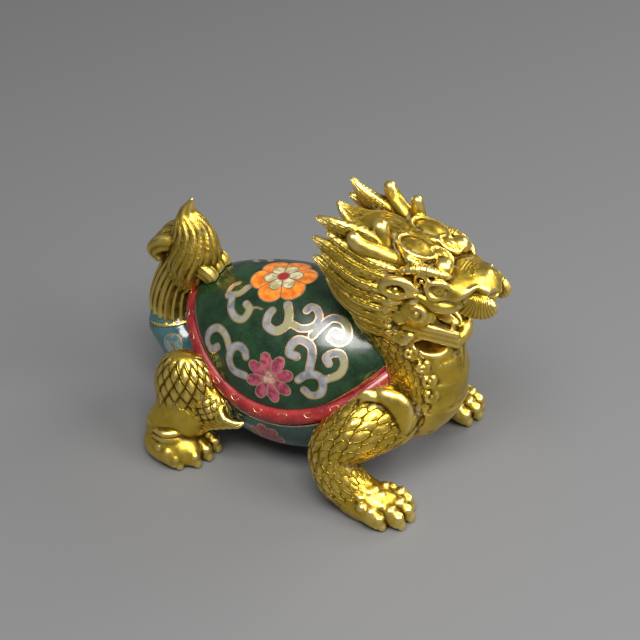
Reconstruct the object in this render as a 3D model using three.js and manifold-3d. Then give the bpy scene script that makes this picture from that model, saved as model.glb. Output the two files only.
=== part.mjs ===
// A cloisonne dragon-turtle figurine: an enamelled copper carapace with a raised red rim, an enamelled
// belly shell with a root for the tail, and gilt castings soldered to them: the forepart (head, mane,
// neck, chest and both forelegs), two hind legs and a bushy tail.
//
// Frame: +X towards the nose, +Y towards the animal's left, +Z up, millimetres. The origin is on the
// surface it stands on, under the middle of its outline. The figure is set out in hundredths of its
// length, so every place and size below that goes through share() or at() grows with LENGTH.
import * as THREE from "three";
import { mergeVertices } from "three/addons/utils/BufferGeometryUtils.js";
import Module from "manifold-3d";

const LENGTH = 100; // the figure is set out in hundredths of this; nose to tail it takes up 94
const SOLDER_GAP = 0.3; // left between pieces that are soldered together

const share = (hundredths) => (hundredths * LENGTH) / 100;
const at = (x, y, z) => new THREE.Vector3(share(x), share(y), share(z));

const wasm = await Module();
wasm.setup();

// Solids: a closed geometry becomes a solid once only its places are left, with shared corners merged.

function solid(geometry) {
  const bare = geometry.index ? geometry.toNonIndexed() : geometry;
  bare.deleteAttribute("normal");
  bare.deleteAttribute("uv");
  const merged = mergeVertices(bare, 1e-4);
  return new wasm.Manifold(
    new wasm.Mesh({
      numProp: 3,
      vertProperties: new Float32Array(merged.attributes.position.array),
      triVerts: new Uint32Array(merged.index.array),
    }),
  );
}

function join(solids) {
  return solids.reduce((all, next) => all.add(next));
}

// Cuts a casting to fit its neighbours and keeps its one body, without the trimmings.
function fit(body, tools) {
  const left = tools.reduce((rest, tool) => rest.subtract(tool), body);
  return left.decompose().reduce((one, other) => (other.volume() > one.volume() ? other : one));
}

// Rings of corners, lowest first, skinned into one closed geometry with a point at each end.
function skin(rings, first, last) {
  const count = rings[0].length;
  const corners = [first, ...rings.flat(), last];
  const faces = [];
  const corner = (ring, k) => 1 + ring * count + (k % count);
  for (let k = 0; k < count; k += 1) {
    faces.push(0, corner(0, k + 1), corner(0, k));
    for (let r = 0; r + 1 < rings.length; r += 1) {
      faces.push(corner(r, k), corner(r, k + 1), corner(r + 1, k + 1));
      faces.push(corner(r, k), corner(r + 1, k + 1), corner(r + 1, k));
    }
    faces.push(corners.length - 1, corner(rings.length - 1, k), corner(rings.length - 1, k + 1));
  }
  const geometry = new THREE.BufferGeometry().setFromPoints(corners);
  geometry.setIndex(faces);
  return geometry;
}

// A form that follows a curve. Each spine point has a half width and a half thickness, and the form's
// flat side faces the given way. flutes cuts that many grooves along it, as deep as the share says.
function sweep(spine, sizes, { face = [0, 0, 1], sides = 8, steps = 2, flutes = 0, depth = 0.12 } = {}) {
  const line = new THREE.CatmullRomCurve3(spine.map((p) => at(...p)));
  const bulk = new THREE.CatmullRomCurve3(
    sizes.map(([width, thickness]) => at(width, thickness, 0)),
    false,
    "catmullrom",
  );
  const facing = new THREE.Vector3(...face);
  const last = steps * (spine.length - 1);
  const rings = [];
  for (let i = 0; i <= last; i += 1) {
    const middle = line.getPoint(i / last);
    const along = line.getTangent(i / last);
    const across = new THREE.Vector3().crossVectors(facing, along).normalize();
    const out = new THREE.Vector3().crossVectors(along, across);
    const size = bulk.getPoint(i / last);
    rings.push(
      Array.from({ length: sides }, (_, k) => {
        const turn = (2 * Math.PI * k) / sides;
        const groove = flutes ? 1 - depth * (0.5 - 0.5 * Math.cos(flutes * turn)) : 1;
        return middle
          .clone()
          .addScaledVector(across, size.x * groove * Math.cos(turn))
          .addScaledVector(out, size.y * groove * Math.sin(turn));
      }),
    );
  }
  const tip = (t, size, way) => {
    const reach = way * share(0.6 * size[1]);
    return line.getPoint(t).addScaledVector(line.getTangent(t), reach);
  };
  return solid(skin(rings, tip(0, sizes[0], -1), tip(1, sizes[sizes.length - 1], 1)));
}

// An egg-shaped lump, tilted about the Y axis so that its length points up (positive) or down.
function lump(place, radii, { tilt = 0, turn = 0, around = 8, up = 6 } = {}) {
  const geometry = new THREE.SphereGeometry(1, around, up);
  geometry.scale(share(radii[0]), share(radii[1]), share(radii[2]));
  geometry.rotateY(THREE.MathUtils.degToRad(-tilt));
  geometry.rotateZ(THREE.MathUtils.degToRad(turn));
  const middle = at(...place);
  geometry.translate(middle.x, middle.y, middle.z);
  return solid(geometry);
}

// The same form on the animal's right (-1) and left (+1).
const bothSides = (make) => [-1, 1].flatMap((side) => make(side));

// Copper shells. The rim of the carapace is an oval whose two ends rise, like a saddle.

const SHELL_MIDDLE = -6; // where the middle of the oval is along the animal
const RIM_HALF_LENGTH = 31;
const RIM_HALF_WIDTH = 23.6;
const RIM_HEIGHT = 19.4; // of the rim band's centre at the flanks
const RIM_RISE = 13.5; // how much higher the rim's two ends are
const BAND_HALF_HEIGHT = 2.3;
const BAND_DEPTH = 2.2; // how far the band stands out from the dome's foot
const DOME_HEIGHT = 26.8; // from the band's centre at the flanks to the top
const DOME_LEAN = 1.4; // how far its top is set forward of the oval's middle
const DOME_TAPER = 1.16; // how its outline draws in towards the top: 1 would be a quarter circle
const REAR_TAPER = 1.6; // the same towards the tail, where the dome is flatter
const BELLY_FLOOR = 4.6; // height of the belly's lowest point
const SECTORS = 24;
const DOME_RINGS = 5;

// One oval ring, `inset` inside the rim, `lift` above the band's centre, its ends raised by `rise`, and
// set `ahead` of the rim's middle. Its rear half may be shorter, to the scale `rear`.
function ovalRing(scale, inset, lift, rise, ahead = 0, rear = scale) {
  return Array.from({ length: SECTORS }, (_, k) => {
    const turn = (2 * Math.PI * k) / SECTORS;
    const reach = Math.cos(turn) < 0 ? rear : scale;
    const x = SHELL_MIDDLE + ahead + (RIM_HALF_LENGTH * reach - inset) * Math.cos(turn);
    const y = (RIM_HALF_WIDTH * scale - inset) * Math.sin(turn);
    return at(x, y, RIM_HEIGHT + lift + rise * Math.cos(turn) ** 2);
  });
}

// The saddle-shaped face on which the carapace and the belly meet.
const saddleRing = (scale, inset, lift) => ovalRing(scale, inset, lift, RIM_RISE * scale ** 2);

function carapaceSolid(grow = 0) {
  const under = -BAND_HALF_HEIGHT - grow;
  const rings = [saddleRing(0.5, 0, under), saddleRing(1, BAND_DEPTH - grow, under)];
  for (const angle of [-55, 0, 55]) {
    const turn = THREE.MathUtils.degToRad(angle);
    const inset = BAND_DEPTH * (1 - Math.cos(turn)) - grow;
    rings.push(saddleRing(1, inset, BAND_HALF_HEIGHT * Math.sin(turn) + grow * Math.sin(turn)));
  }
  const foot = BAND_HALF_HEIGHT * 0.95;
  for (let k = 0; k < DOME_RINGS; k += 1) {
    const turn = (Math.PI / 2) * (k / DOME_RINGS);
    const height = Math.sin(turn);
    const lift = foot + (DOME_HEIGHT - foot) * height + grow;
    const [scale, rear] = [DOME_TAPER, REAR_TAPER].map((power) => 0.935 * Math.cos(turn) ** power);
    rings.push(ovalRing(scale, -grow, lift, RIM_RISE * (1 - height), DOME_LEAN * height, rear));
  }
  const underMiddle = at(SHELL_MIDDLE, 0, RIM_HEIGHT + under);
  const top = at(SHELL_MIDDLE + DOME_LEAN, 0, RIM_HEIGHT + DOME_HEIGHT + grow);
  return solid(skin(rings, underMiddle, top));
}

function bellySolid(grow = 0) {
  const seam = grow - BAND_HALF_HEIGHT - SOLDER_GAP / share(1);
  const depth = RIM_HEIGHT - BAND_HALF_HEIGHT - BELLY_FLOOR;
  const rings = [];
  for (const [radius, sink] of [[0.35, 1], [0.64, 0.91], [0.84, 0.62], [0.93, 0.2]]) {
    rings.push(ovalRing(radius, -grow, -BAND_HALF_HEIGHT - depth * sink - grow, RIM_RISE * (1 - sink)));
  }
  rings.push(saddleRing(0.94, -grow, seam));
  rings.push(saddleRing(0.5, -grow, seam));
  const bowl = solid(
    skin(rings, at(SHELL_MIDDLE, 0, BELLY_FLOOR - grow), at(SHELL_MIDDLE, 0, RIM_HEIGHT + seam)),
  );
  const root = sweep(
    [[-28, 0, 15], [-37, 0, 16.5], [-43.3, 0, 21.5]],
    [[13 + grow, 8 + grow], [10 + grow, 7.6 + grow], [7 + grow, 7 + grow]],
    { face: [0, 0, 1], sides: 14 },
  );
  return bowl.add(root.subtract(carapaceSolid(SOLDER_GAP / share(1))));
}

// Gilt castings.

const PLATES = 6; // broad plates down the throat and chest

function neckAndChest() {
  const trunk = sweep(
    [[8, 0, 17.5], [18, 0, 17.6], [25.4, 0, 24], [24, 0, 36.6], [17.8, 0, 47], [16.6, 0, 57]],
    [[11, 12], [11, 12.4], [11, 12], [11, 10.8], [10.6, 11], [8, 9]],
    { face: [0, 1, 0], sides: 10 },
  );
  const plates = Array.from({ length: PLATES }, (_, k) => {
    const turn = THREE.MathUtils.degToRad(-62 + 22 * k);
    const place = [24.4 + 9.4 * Math.cos(turn), 0, 23.6 + (k > 2 ? 14 : 11.5) * Math.sin(turn)];
    const tilt = THREE.MathUtils.radToDeg(turn) * 0.8;
    return lump(place, [2.4, 7.6, 3.6], { tilt, around: 6, up: 4 });
  });
  return [trunk, ...plates];
}

// The antlers' front prongs aren't bent quite alike: how far along the animal each one ends.
const PRONG_LEAN = { [-1]: 17, 1: 19.3 };

function head() {
  const skull = lump([20, 0, 60], [11, 9.4, 7.6], { around: 9, up: 6 });
  const snout = sweep(
    [[24, 0, 60], [31, 0, 58], [36.4, 0, 57.2], [40.4, 0, 57.6]],
    [[9.4, 6.4], [7.8, 4.9], [5.8, 4.4], [4.6, 3.8]],
    { sides: 8 },
  );
  const nose = lump([40, 0, 59.4], [3.4, 4, 2.9], { around: 8, up: 5 });
  const throat = sweep([[22, 0, 47], [28, 0, 46]], [[8.4, 4], [7.4, 2.6]], { sides: 8, steps: 1 });
  const jaw = sweep(
    [[25, 0, 47], [30.5, 0, 45], [35.4, 0, 42.2]],
    [[9, 2.4], [7.4, 2.2], [4.4, 1.8]],
    { sides: 8, steps: 1 },
  );
  const tongue = lump([31, 0, 47.4], [4.5, 3.4, 1.6], { tilt: -24, around: 6, up: 4 });
  const goatee = sweep(
    [[33.8, 0, 41], [34.6, 0, 36.5], [35, 0, 32]],
    [[2.2, 1.8], [1.8, 1.5], [1, 0.8]],
    { sides: 6, face: [1, 0, 0] },
  );
  const paired = bothSides((side) => [
    lump([40.8, side * 4.2, 55.6], [4.7, 2.2, 3.2], { around: 7, up: 5 }),
    sweep(
      [[27, side * 8.8, 56.6], [31.5, side * 8.2, 55], [35, side * 7, 55], [37.6, side * 5.6, 56.8]],
      [[1.5, 1.7], [1.6, 1.6], [1.4, 1.5], [1, 1.1]],
      { face: [0, side, 0], sides: 5 },
    ),
    lump([26.4, side * 4.4, 65.8], [5, 3.8, 2.6], { tilt: -14, around: 7, up: 4 }),
    lump([31.6, side * 5, 63.6], [2.4, 2.6, 2.2], { around: 6, up: 4 }),
    lump([31.4, side * 7.6, 60], [2.2, 1.9, 2], { around: 6, up: 4 }),
    lump([26.6, side * 8.9, 52.2], [4.7, 2.5, 4.4], { around: 7, up: 5 }),
    sweep(
      [[28, side * 9.8, 58.2], [24, side * 11, 61], [20.6, side * 11.6, 59.2], [21, side * 11.4, 56.8]],
      [[1, 0.9], [1.6, 1.2], [1.6, 1.2], [1, 0.8]],
      { face: [0, side, 0], sides: 5, steps: 1 },
    ),
    sweep(
      [[20, side * 7, 63.4], [14.6, side * 9.2, 66.4], [11.6, side * 10.2, 70]],
      [[2.2, 2.2], [1.9, 1.9], [1.5, 1.5]],
      { sides: 6 },
    ),
    sweep(
      [
        [19.8, side * 7.2, 64.4],
        [PRONG_LEAN[side] + 1.6, side * 7.8, 68],
        [PRONG_LEAN[side], side * 7.6, 71],
      ],
      [[2, 2], [1.7, 1.7], [1.3, 1.3]],
      { face: [1, 0, 0], sides: 6 },
    ),
    sweep(
      [[24.5, side * 9, 47.2], [30.4, side * 7.4, 46.4], [34.4, side * 3.6, 43.4]],
      [[1.4, 1.5], [1.4, 1.5], [1.2, 1.4]],
      { face: [0, side, 0], sides: 5, steps: 1 },
    ),
  ]);
  return [skull, snout, nose, throat, jaw, tongue, goatee, ...paired];
}

// Locks of the mane: where each one runs, for the animal's left, and its half width and thickness.
const MANE = [
  {
    spine: [[21, 10, 60], [13.6, 11.4, 61.2], [7, 10.8, 63.8], [1, 10, 65.8]],
    size: [[1.4, 1.4], [2.7, 1.6], [2.4, 1.5], [0.7, 0.6]],
  },
  {
    spine: [[20, 11, 54.6], [12.5, 12, 56.2], [7, 11.6, 59], [1.8, 11, 61.2]],
    size: [[1.4, 1.4], [2.5, 1.7], [2.1, 1.5], [0.7, 0.6]],
  },
  {
    spine: [[21, 11, 49.4], [14.5, 11.8, 50.6], [9, 11.4, 53.4], [5, 10.6, 56.4]],
    size: [[1.4, 1.4], [2.3, 1.7], [1.9, 1.5], [0.6, 0.6]],
  },
  {
    spine: [[21, 10.4, 45.2], [15.5, 11.2, 46.2], [11.6, 10.6, 48.6]],
    size: [[1.4, 1.4], [2.1, 1.8], [0.8, 0.8]],
  },
];

// The uppermost lock of each side isn't set alike: the left one rises more steeply.
const TOP_LOCK = {
  [-1]: [[21, 7.4, 65.8], [14, 8.8, 68], [6.6, 9, 70.2], [1.8, 9, 71.4]],
  1: [[20, 7.4, 63.4], [12.2, 9, 64.6], [5.4, 9.2, 67.2], [2.2, 9, 71]],
};

function mane() {
  const nape = lump([12.5, 0, 60], [9, 10, 9.5], { around: 9, up: 6, tilt: 20 });
  const locks = bothSides((side) =>
    [{ spine: TOP_LOCK[side], size: [[1.2, 1.2], [2.4, 1.6], [2.3, 1.5], [0.7, 0.6]] }, ...MANE].map(
      ({ spine, size }) =>
        sweep(spine.map(([x, y, z]) => [x, side * y, z]), size, {
          face: [0, side, 0],
          sides: 5,
          steps: size[1][0] > 2.35 ? 2 : 1,
        }),
    ),
  );
  const crown = sweep(
    [[14, 0, 65.4], [8, 0, 66.6], [3, 0, 69.4]],
    [[4, 1.8], [3.2, 1.6], [1, 0.7]],
    { sides: 6, steps: 1 },
  );
  return [nape, crown, ...locks];
}

// The two forepaws aren't set quite alike: how far out from the middle each one stands.
const FOREPAW_OUT = { [-1]: 23.6, 1: 21.4 };

// A paw: a palm with four toes, each with a knuckle and a claw, on a sole that is cut flat later.
function paw(heel, toes, side) {
  const turn = side * heel[2];
  const parts = [lump([heel[0] + 4, heel[1], 3.4], [8, 5.8, 5], { turn, around: 8, up: 4 })];
  for (const [x, y] of toes) {
    const from = [x - 6, heel[1] + (y - heel[1]) * 0.6, 3.2];
    const bones = [from, [x - 1.4, y, 3.6], [x + 1.4, y, 1.8]];
    parts.push(sweep(bones, [[2.2, 2.6], [2.2, 2.8], [1.5, 1.7]], { sides: 5, steps: 1 }));
  }
  return parts;
}

function foreleg(side) {
  const out = FOREPAW_OUT[side];
  const limb = sweep(
    [
      [21, side * 12, 21.6],
      [17, side * 18, 19.6],
      [12.4, side * 21.8, 14.8],
      [14.8, side * out, 8.4],
      [20, side * out, 4.6],
    ],
    [[8.8, 8.4], [7.6, 7.6], [6.3, 6.1], [5.9, 5.7], [5.4, 4.8]],
    { face: [0, side, 0], sides: 8 },
  );
  const shoulder = sweep(
    [
      [18, side * 15.6, 29.4],
      [22.4, side * 16.2, 30.8],
      [26.2, side * 15.6, 28.4],
      [27, side * 15.8, 23.4],
      [24.4, side * 16.8, 17.6],
    ],
    [[0.6, 0.6], [1.7, 1.6], [2.2, 2], [2.2, 2], [1, 1]],
    { face: [0.3, side, 0.3], sides: 6 },
  );
  const tips = [[30, -4.6], [31.4, -1.1], [30.6, 2.5], [26.6, 4.8]];
  const toes = tips.map(([x, y]) => [x, side * (out + y)]);
  return [limb, shoulder, ...paw([18.4, side * out, 4], toes, side)];
}

const forepartSolid = () => join([...neckAndChest(), ...head(), ...mane(), ...bothSides(foreleg)]);

function hindLeg(side) {
  const thigh = lump([-28.6, side * 20.2, 17.6], [8.6, 6.4, 11.2], { tilt: 6, around: 9, up: 7 });
  const haunch = lump([-22.4, side * 21, 15.6], [7, 4.6, 5.6], { tilt: -24, around: 7, up: 5 });
  const shank = sweep(
    [[-28, side * 21.6, 12], [-32, side * 24, 8], [-30.2, side * 25.6, 4.2]],
    [[7.2, 6.4], [5.8, 5.6], [5.4, 4.6]],
    { face: [0, side, 0], sides: 7 },
  );
  const flames = [0, 1, 2].map((k) =>
    sweep(
      [
        [-24 + 3 * k, side * 22.6, 10.4 + 1.8 * k],
        [-19.4 + 3 * k, side * 23.2, 9.8 + 2 * k],
        [-15.6 + 3.4 * k, side * 22.8, 12 + 2 * k],
      ],
      [[2, 1.6], [1.7, 1.4], [0.5, 0.5]],
      { face: [0, side, 0], sides: 5, steps: 1 },
    ),
  );
  const toes = [[-22.4, side * 20], [-22.8, side * 23.8], [-24.2, side * 27.4], [-27.8, side * 30]];
  return join([thigh, haunch, shank, ...flames, ...paw([-34.2, side * 25.6, 6], toes, side)]);
}

function tailSolid() {
  const brush = sweep(
    [[-42.9, 0, 23], [-42.9, 0, 29], [-41.6, 0, 34.6], [-39, 0, 40]],
    [[6.6, 6.6], [6.2, 5.8], [5.6, 5.2], [5.4, 5]],
    { face: [0, 1, 0], sides: 18, steps: 1, flutes: 9 },
  );
  const flame = sweep(
    [[-38.8, 0, 37], [-36.6, 0, 43.6], [-37.2, 0, 50], [-38, 0, 55], [-36.8, 0, 59.2]],
    [[5.4, 5.4], [6.6, 6.4], [5, 4.8], [2.7, 2.6], [0.6, 0.6]],
    { face: [0, 1, 0], sides: 16, flutes: 8 },
  );
  const backCurl = sweep(
    [[-41, 0, 46.4], [-44.2, 0, 45.8], [-46.2, 0, 43], [-45, 0, 40.6]],
    [[3, 3.6], [2.8, 3.6], [2.2, 3], [1.3, 1.6]],
    { face: [0, 1, 0], sides: 7 },
  );
  const hook = sweep(
    [[-35, 0, 42.4], [-31, 0, 41], [-29.6, 0, 37.8], [-31.6, 0, 35]],
    [[5.4, 2.4], [5, 2.3], [4, 1.9], [1.8, 1.2]],
    { face: [1, 0, 1], sides: 8 },
  );
  return join([brush, flame, backCurl, hook]);
}

// Putting it together: the castings are fitted to the shells, and their soles stand on one plane.

const GILT = { color: 0xc99a22, roughness: 0.36, metalness: 1 };
const GREEN_ENAMEL = { color: 0x123a24, roughness: 0.12, metalness: 0 };
const TEAL_ENAMEL = { color: 0x24504c, roughness: 0.14, metalness: 0 };

const grown = SOLDER_GAP / share(1);
const floorBox = new THREE.BoxGeometry(share(140), share(100), share(20));
floorBox.translate(0, 0, -share(10));
const fitTools = [solid(floorBox), carapaceSolid(grown), bellySolid(grown)];

const pieces = {
  carapace: [carapaceSolid(), GREEN_ENAMEL],
  belly: [bellySolid(), TEAL_ENAMEL],
  forepart: [fit(forepartSolid(), fitTools), GILT],
  hind_leg_right: [fit(hindLeg(-1), fitTools), GILT],
  hind_leg_left: [fit(hindLeg(1), fitTools), GILT],
  tail: [fit(tailSolid(), fitTools), GILT],
};

function meshOf(name, [body, finish]) {
  const { vertProperties, triVerts, numProp } = body.getMesh();
  const geometry = new THREE.BufferGeometry();
  const places = new THREE.BufferAttribute(new Float32Array(vertProperties), numProp);
  geometry.setAttribute("position", places);
  geometry.setIndex(new THREE.BufferAttribute(new Uint32Array(triVerts), 1));
  const flat = geometry.toNonIndexed();
  flat.computeVertexNormals();
  const mesh = new THREE.Mesh(flat, new THREE.MeshStandardMaterial({ ...finish }));
  mesh.name = name;
  return mesh;
}

const figurine = new THREE.Group();
figurine.name = "dragon_turtle";
for (const [name, piece] of Object.entries(pieces)) figurine.add(meshOf(name, piece));

// The origin goes under the middle of the outline.
const outline = new THREE.Box3().setFromObject(figurine);
const middle = outline.getCenter(new THREE.Vector3());
figurine.position.set(-middle.x, -middle.y, -outline.min.z);

export default figurine;
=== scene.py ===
# A cloisonne dragon-turtle figurine in its frame: +X towards the nose, +Y towards the animal's left,
# +Z up. Lengths in this script are millimetres, turned to metres when a mesh is made.
import math

import bpy
import mathutils
import numpy as np
import openvdb as vdb
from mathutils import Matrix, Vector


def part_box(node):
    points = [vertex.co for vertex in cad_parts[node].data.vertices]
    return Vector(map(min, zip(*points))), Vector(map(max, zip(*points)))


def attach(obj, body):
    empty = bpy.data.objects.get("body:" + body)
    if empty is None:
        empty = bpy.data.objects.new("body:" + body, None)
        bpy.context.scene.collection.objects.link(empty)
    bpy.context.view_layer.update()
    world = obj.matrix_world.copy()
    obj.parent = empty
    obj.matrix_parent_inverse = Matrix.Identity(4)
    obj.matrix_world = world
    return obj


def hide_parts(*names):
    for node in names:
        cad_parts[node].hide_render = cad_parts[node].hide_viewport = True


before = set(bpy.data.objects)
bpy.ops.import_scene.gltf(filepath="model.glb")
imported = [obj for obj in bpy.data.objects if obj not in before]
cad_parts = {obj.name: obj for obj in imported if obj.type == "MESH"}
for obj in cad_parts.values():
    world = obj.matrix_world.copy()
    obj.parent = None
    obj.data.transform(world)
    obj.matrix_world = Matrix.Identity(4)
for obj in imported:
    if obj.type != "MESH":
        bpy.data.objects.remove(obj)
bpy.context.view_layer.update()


# The carapace: one domed copper shell with a rolled red rim, covered in green enamel that is divided
# by copper wires into scrolls and flowers, fired and polished flush. It is soldered to the belly
# under the rim and to the castings around it. The rim's two ends rise like a saddle.

METRE = 0.001
shell_low, shell_high = (np.array(corner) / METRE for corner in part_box("carapace"))
shell_middle = (shell_low[0] + shell_high[0]) / 2
castings_ahead = 6.0  # the places in the castings and the enamel's pattern are counted from here
figure_start = np.array([shell_middle + castings_ahead, (shell_low[1] + shell_high[1]) / 2, 0.0])
rim_half_length = (shell_high[0] - shell_low[0]) / 2
rim_half_width = (shell_high[1] - shell_low[1]) / 2
rim_height = 19.4
rim_rise = 13.5
band_half_height = 2.3
band_depth = 2.2
dome_height = shell_high[2] - rim_height
dome_lean = 1.4
dome_taper = 1.16  # how its outline draws in towards the top: 1 would be a quarter circle
rear_taper = 1.6  # the same towards the tail, where it is flatter
dome_spread = 0.935  # the dome's outline at its foot, as a share of the rim's
SECTORS = 300


def oval(scale, inset, lift, rise, turn, ahead=0.0, rear=None):
    """Places on an oval inside the rim, lifted above the band's centre line, its two ends raised. Its
    rear half may have a smaller scale of its own."""
    reach = scale if rear is None else np.where(np.cos(turn) < 0, rear, scale)
    x = shell_middle + ahead + (rim_half_length * reach - inset) * np.cos(turn)
    y = figure_start[1] + (rim_half_width * scale - inset) * np.sin(turn)
    z = rim_height + lift + rise * np.cos(turn) ** 2
    return np.stack(np.broadcast_arrays(x, y, z), axis=-1)


def skin(rings, first, last):
    """Closed mesh through rings of places, with a middle point closing each end."""
    rows, count = rings.shape[:2]
    points = np.vstack([[first], rings.reshape(-1, 3), [last]])
    k = np.arange(count)
    following = (k + 1) % count
    start = 1 + np.arange(rows - 1)[:, None] * count
    quads = np.stack([start + k, start + following, start + count + following, start + count + k], -1)
    end = 1 + (rows - 1) * count
    fans = [np.stack([np.zeros_like(k), 1 + following, 1 + k], -1)]
    fans.append(np.stack([np.full_like(k, len(points) - 1), end + k, end + following], -1))
    return points, quads.reshape(-1, 4).tolist() + np.vstack(fans).tolist()


def make_object(name, points, faces, attributes=None):
    """An object at the origin whose vertices lie in the frame, smooth shaded."""
    mesh = bpy.data.meshes.new(name)
    mesh.from_pydata((np.asarray(points) * METRE).tolist(), [], faces)
    mesh.polygons.foreach_set("use_smooth", [True] * len(mesh.polygons))
    for key, values in (attributes or {}).items():
        layer = mesh.attributes.new(key, "FLOAT", "POINT")
        layer.data.foreach_set("value", np.asarray(values, dtype=np.float32))
    mesh.update()
    made = bpy.data.objects.new(name, mesh)
    bpy.context.scene.collection.objects.link(made)
    return made


def smooth(points, per_span):
    """Places along a smooth curve through the points, and the curve ends on its last point."""
    points = np.asarray(points, dtype=float)
    padded = np.vstack([2 * points[0] - points[1], points, 2 * points[-1] - points[-2]])
    t = (np.arange(per_span) / per_span)[:, None]
    spans = []
    for a, b, c, d in zip(padded[:-3], padded[1:-2], padded[2:-1], padded[3:]):
        bend = 2 * a - 5 * b + 4 * c - d
        spans.append(b + 0.5 * t * (c - a + t * (bend + t * (3 * (b - c) + d - a))))
    return np.vstack([*spans, points[-1:]])


turns = np.linspace(0, 2 * np.pi, SECTORS, endpoint=False)
band_angles = np.radians(np.linspace(-90, 88, 17))
dome_turns = np.radians(np.linspace(0, 89.2, 112))
dome_foot = band_half_height * 0.95
rings = [oval(s, i, -band_half_height, rim_rise * s * s, turns) for s, i in ((0.6, 0), (0.9, 0))]
for angle in band_angles:
    inset = band_depth * (1 - math.cos(angle))
    rings.append(oval(1, inset, band_half_height * math.sin(angle), rim_rise, turns))
band_rows = len(rings)
for turn in dome_turns:
    height = math.sin(turn)
    lift = dome_foot + (dome_height - dome_foot) * height
    radius, rear = (dome_spread * math.cos(turn) ** power for power in (dome_taper, rear_taper))
    rings.append(oval(radius, 0, lift, rim_rise * (1 - height), turns, dome_lean * height, rear))
rings = np.array(rings)
shell_bottom = (shell_middle, figure_start[1], rim_height - band_half_height)
shell_top = (shell_middle + dome_lean, figure_start[1], shell_high[2])
shell_points, shell_faces = skin(rings, shell_bottom, shell_top)
dome_points = rings[band_rows:].reshape(-1, 3) - figure_start


flank_turn = math.radians(26)
flank_rise = math.radians(37)
flank_along = np.array([math.cos(flank_turn), math.sin(flank_turn), 0])
flank_out = np.array([math.sin(flank_turn), -math.cos(flank_turn), math.tan(flank_rise)])
flank_out *= math.cos(flank_rise)
flank_up = np.cross(flank_out, flank_along)


def on_flank(a, b, side):
    """The dome's place at (a, b) of the pattern, which is laid out as seen square to the flank."""
    seen = dome_points * (1, -side, 1)
    bulge = (rim_half_length**2, rim_half_width**2, dome_height**2)
    facing = (seen - (-castings_ahead, 0, rim_height)) / bulge @ flank_out
    miss = (seen @ flank_along - a) ** 2 + (seen @ flank_up - b) ** 2 + np.where(facing > 0, 0, 1e3)
    return dome_points[np.argmin(miss)] + figure_start


# Each scroll as places along its middle line in the flank's pattern, then the half width of its ribbon.
scrolls = [
    ([(-19.2, 35.6), (-21.3, 34.2), (-24.1, 33.8)], 0.8),
    ([(-24.4, 34), (-23.4, 35.8), (-21.4, 36.8)], 0.45),
    ([(-23.1, 32.9), (-23.6, 30.5), (-22.3, 28.1), (-20.3, 28.2), (-19, 30.2), (-19.6, 31.7)], 0.85),
    ([(-18.8, 29.5), (-17.3, 30.7), (-15.8, 30.3)], 0.12),
    (
        [(-9.5, 31.3), (-9.2, 28.9), (-10, 26.3), (-12.4, 25.1), (-14.5, 26.6), (-14.4, 28.6), (-13.4, 29.7)],
        0.95,
    ),
    ([(-8.4, 26.7), (-6.2, 25.5), (-3.5, 26.3), (-1.9, 28.3), (-2.6, 30.3), (-4.1, 30.7), (-5.1, 30)], 0.85),
    (
        [(-3.9, 23.9), (-1.4, 26.4), (1, 28), (3.5, 27.5), (4.9, 25.4)]
        + [(4.5, 23.3), (2.4, 22.4), (0.7, 23.6)],
        0.95,
    ),
    ([(0.7, 23.6), (1.5, 24.8), (2.6, 24.6)], 0.8),
    ([(-20, 14.2), (-22.8, 15.7), (-24, 18.4), (-23, 20.8), (-21.4, 21.5), (-20, 20.3), (-19.8, 18.8)], 0.9),
    (
        [(-23.8, 20.8), (-24.6, 23.8), (-26.5, 25.8), (-28.7, 24.7)]
        + [(-29.2, 22.3), (-28.2, 20.6), (-26.8, 21.4)],
        0.85,
    ),
    (
        [(-7.6, 18.9), (-9.1, 20), (-8.5, 22.1), (-6.5, 22.9), (-4.1, 21.7)]
        + [(-3.5, 19.2), (-4.4, 16.5), (-4.4, 14.7)],
        0.95,
    ),
    ([(-7.1, 13.5), (-4.7, 14.7), (-2, 14.4), (-1, 12.4), (-2, 10.2), (-4.1, 9.8), (-5.4, 10.8)], 0.85),
    ([(-0.5, 13.6), (2.4, 14.5), (3.9, 16.8), (3.2, 19.2), (1.2, 19.8), (-0.5, 18.7), (0.1, 17.4)], 0.85),
]


def distance_to_lines(points, lines):
    """Distance from each place to the nearest of the lines, each a run of places."""
    nearest = np.full(len(points), 1e3)
    for line in lines:
        for a, b in zip(line[:-1], line[1:]):
            along = b - a
            t = np.clip((points - a) @ along / max(along @ along, 1e-9), 0, 1)
            nearest = np.minimum(nearest, np.linalg.norm(points - a - t[:, None] * along, axis=1))
    return nearest


scroll_edge = np.full(len(shell_points), 1e3)
for side in (-1, 1):
    for line, half_width in scrolls:
        on_dome = smooth([on_flank(a, b, side) for a, b in line], 6)
        scroll_edge = np.minimum(scroll_edge, distance_to_lines(shell_points, [on_dome]) - half_width)


def flower(points, centre, petals, radius, notch, heart, heart_lobes, core, spin):
    """Signed distances that draw a flower: outline, borders between petals, heart and core."""
    centre = np.asarray(centre, dtype=float)
    out = centre - (shell_middle, figure_start[1], rim_height + 2)
    out /= np.linalg.norm(out)
    ahead = np.cross((0, 1, 0), out)
    ahead /= np.linalg.norm(ahead)
    aside = np.cross(out, ahead)
    away = points - centre
    rho = np.linalg.norm(away, axis=1)
    phi = np.arctan2(away @ aside, away @ ahead) - spin
    lobe = np.abs(np.cos(phi * petals / 2)) ** 0.55
    outline = rho - radius * (1 - notch + notch * lobe)
    border = rho * np.cos(phi * petals / 2) * 2 / petals
    inner_lobe = np.abs(np.cos(phi * heart_lobes / 2)) ** 0.6
    heart_edge = rho - heart * (0.5 + 0.5 * inner_lobe)
    return rho, outline, border, heart_edge, rho - core


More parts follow.
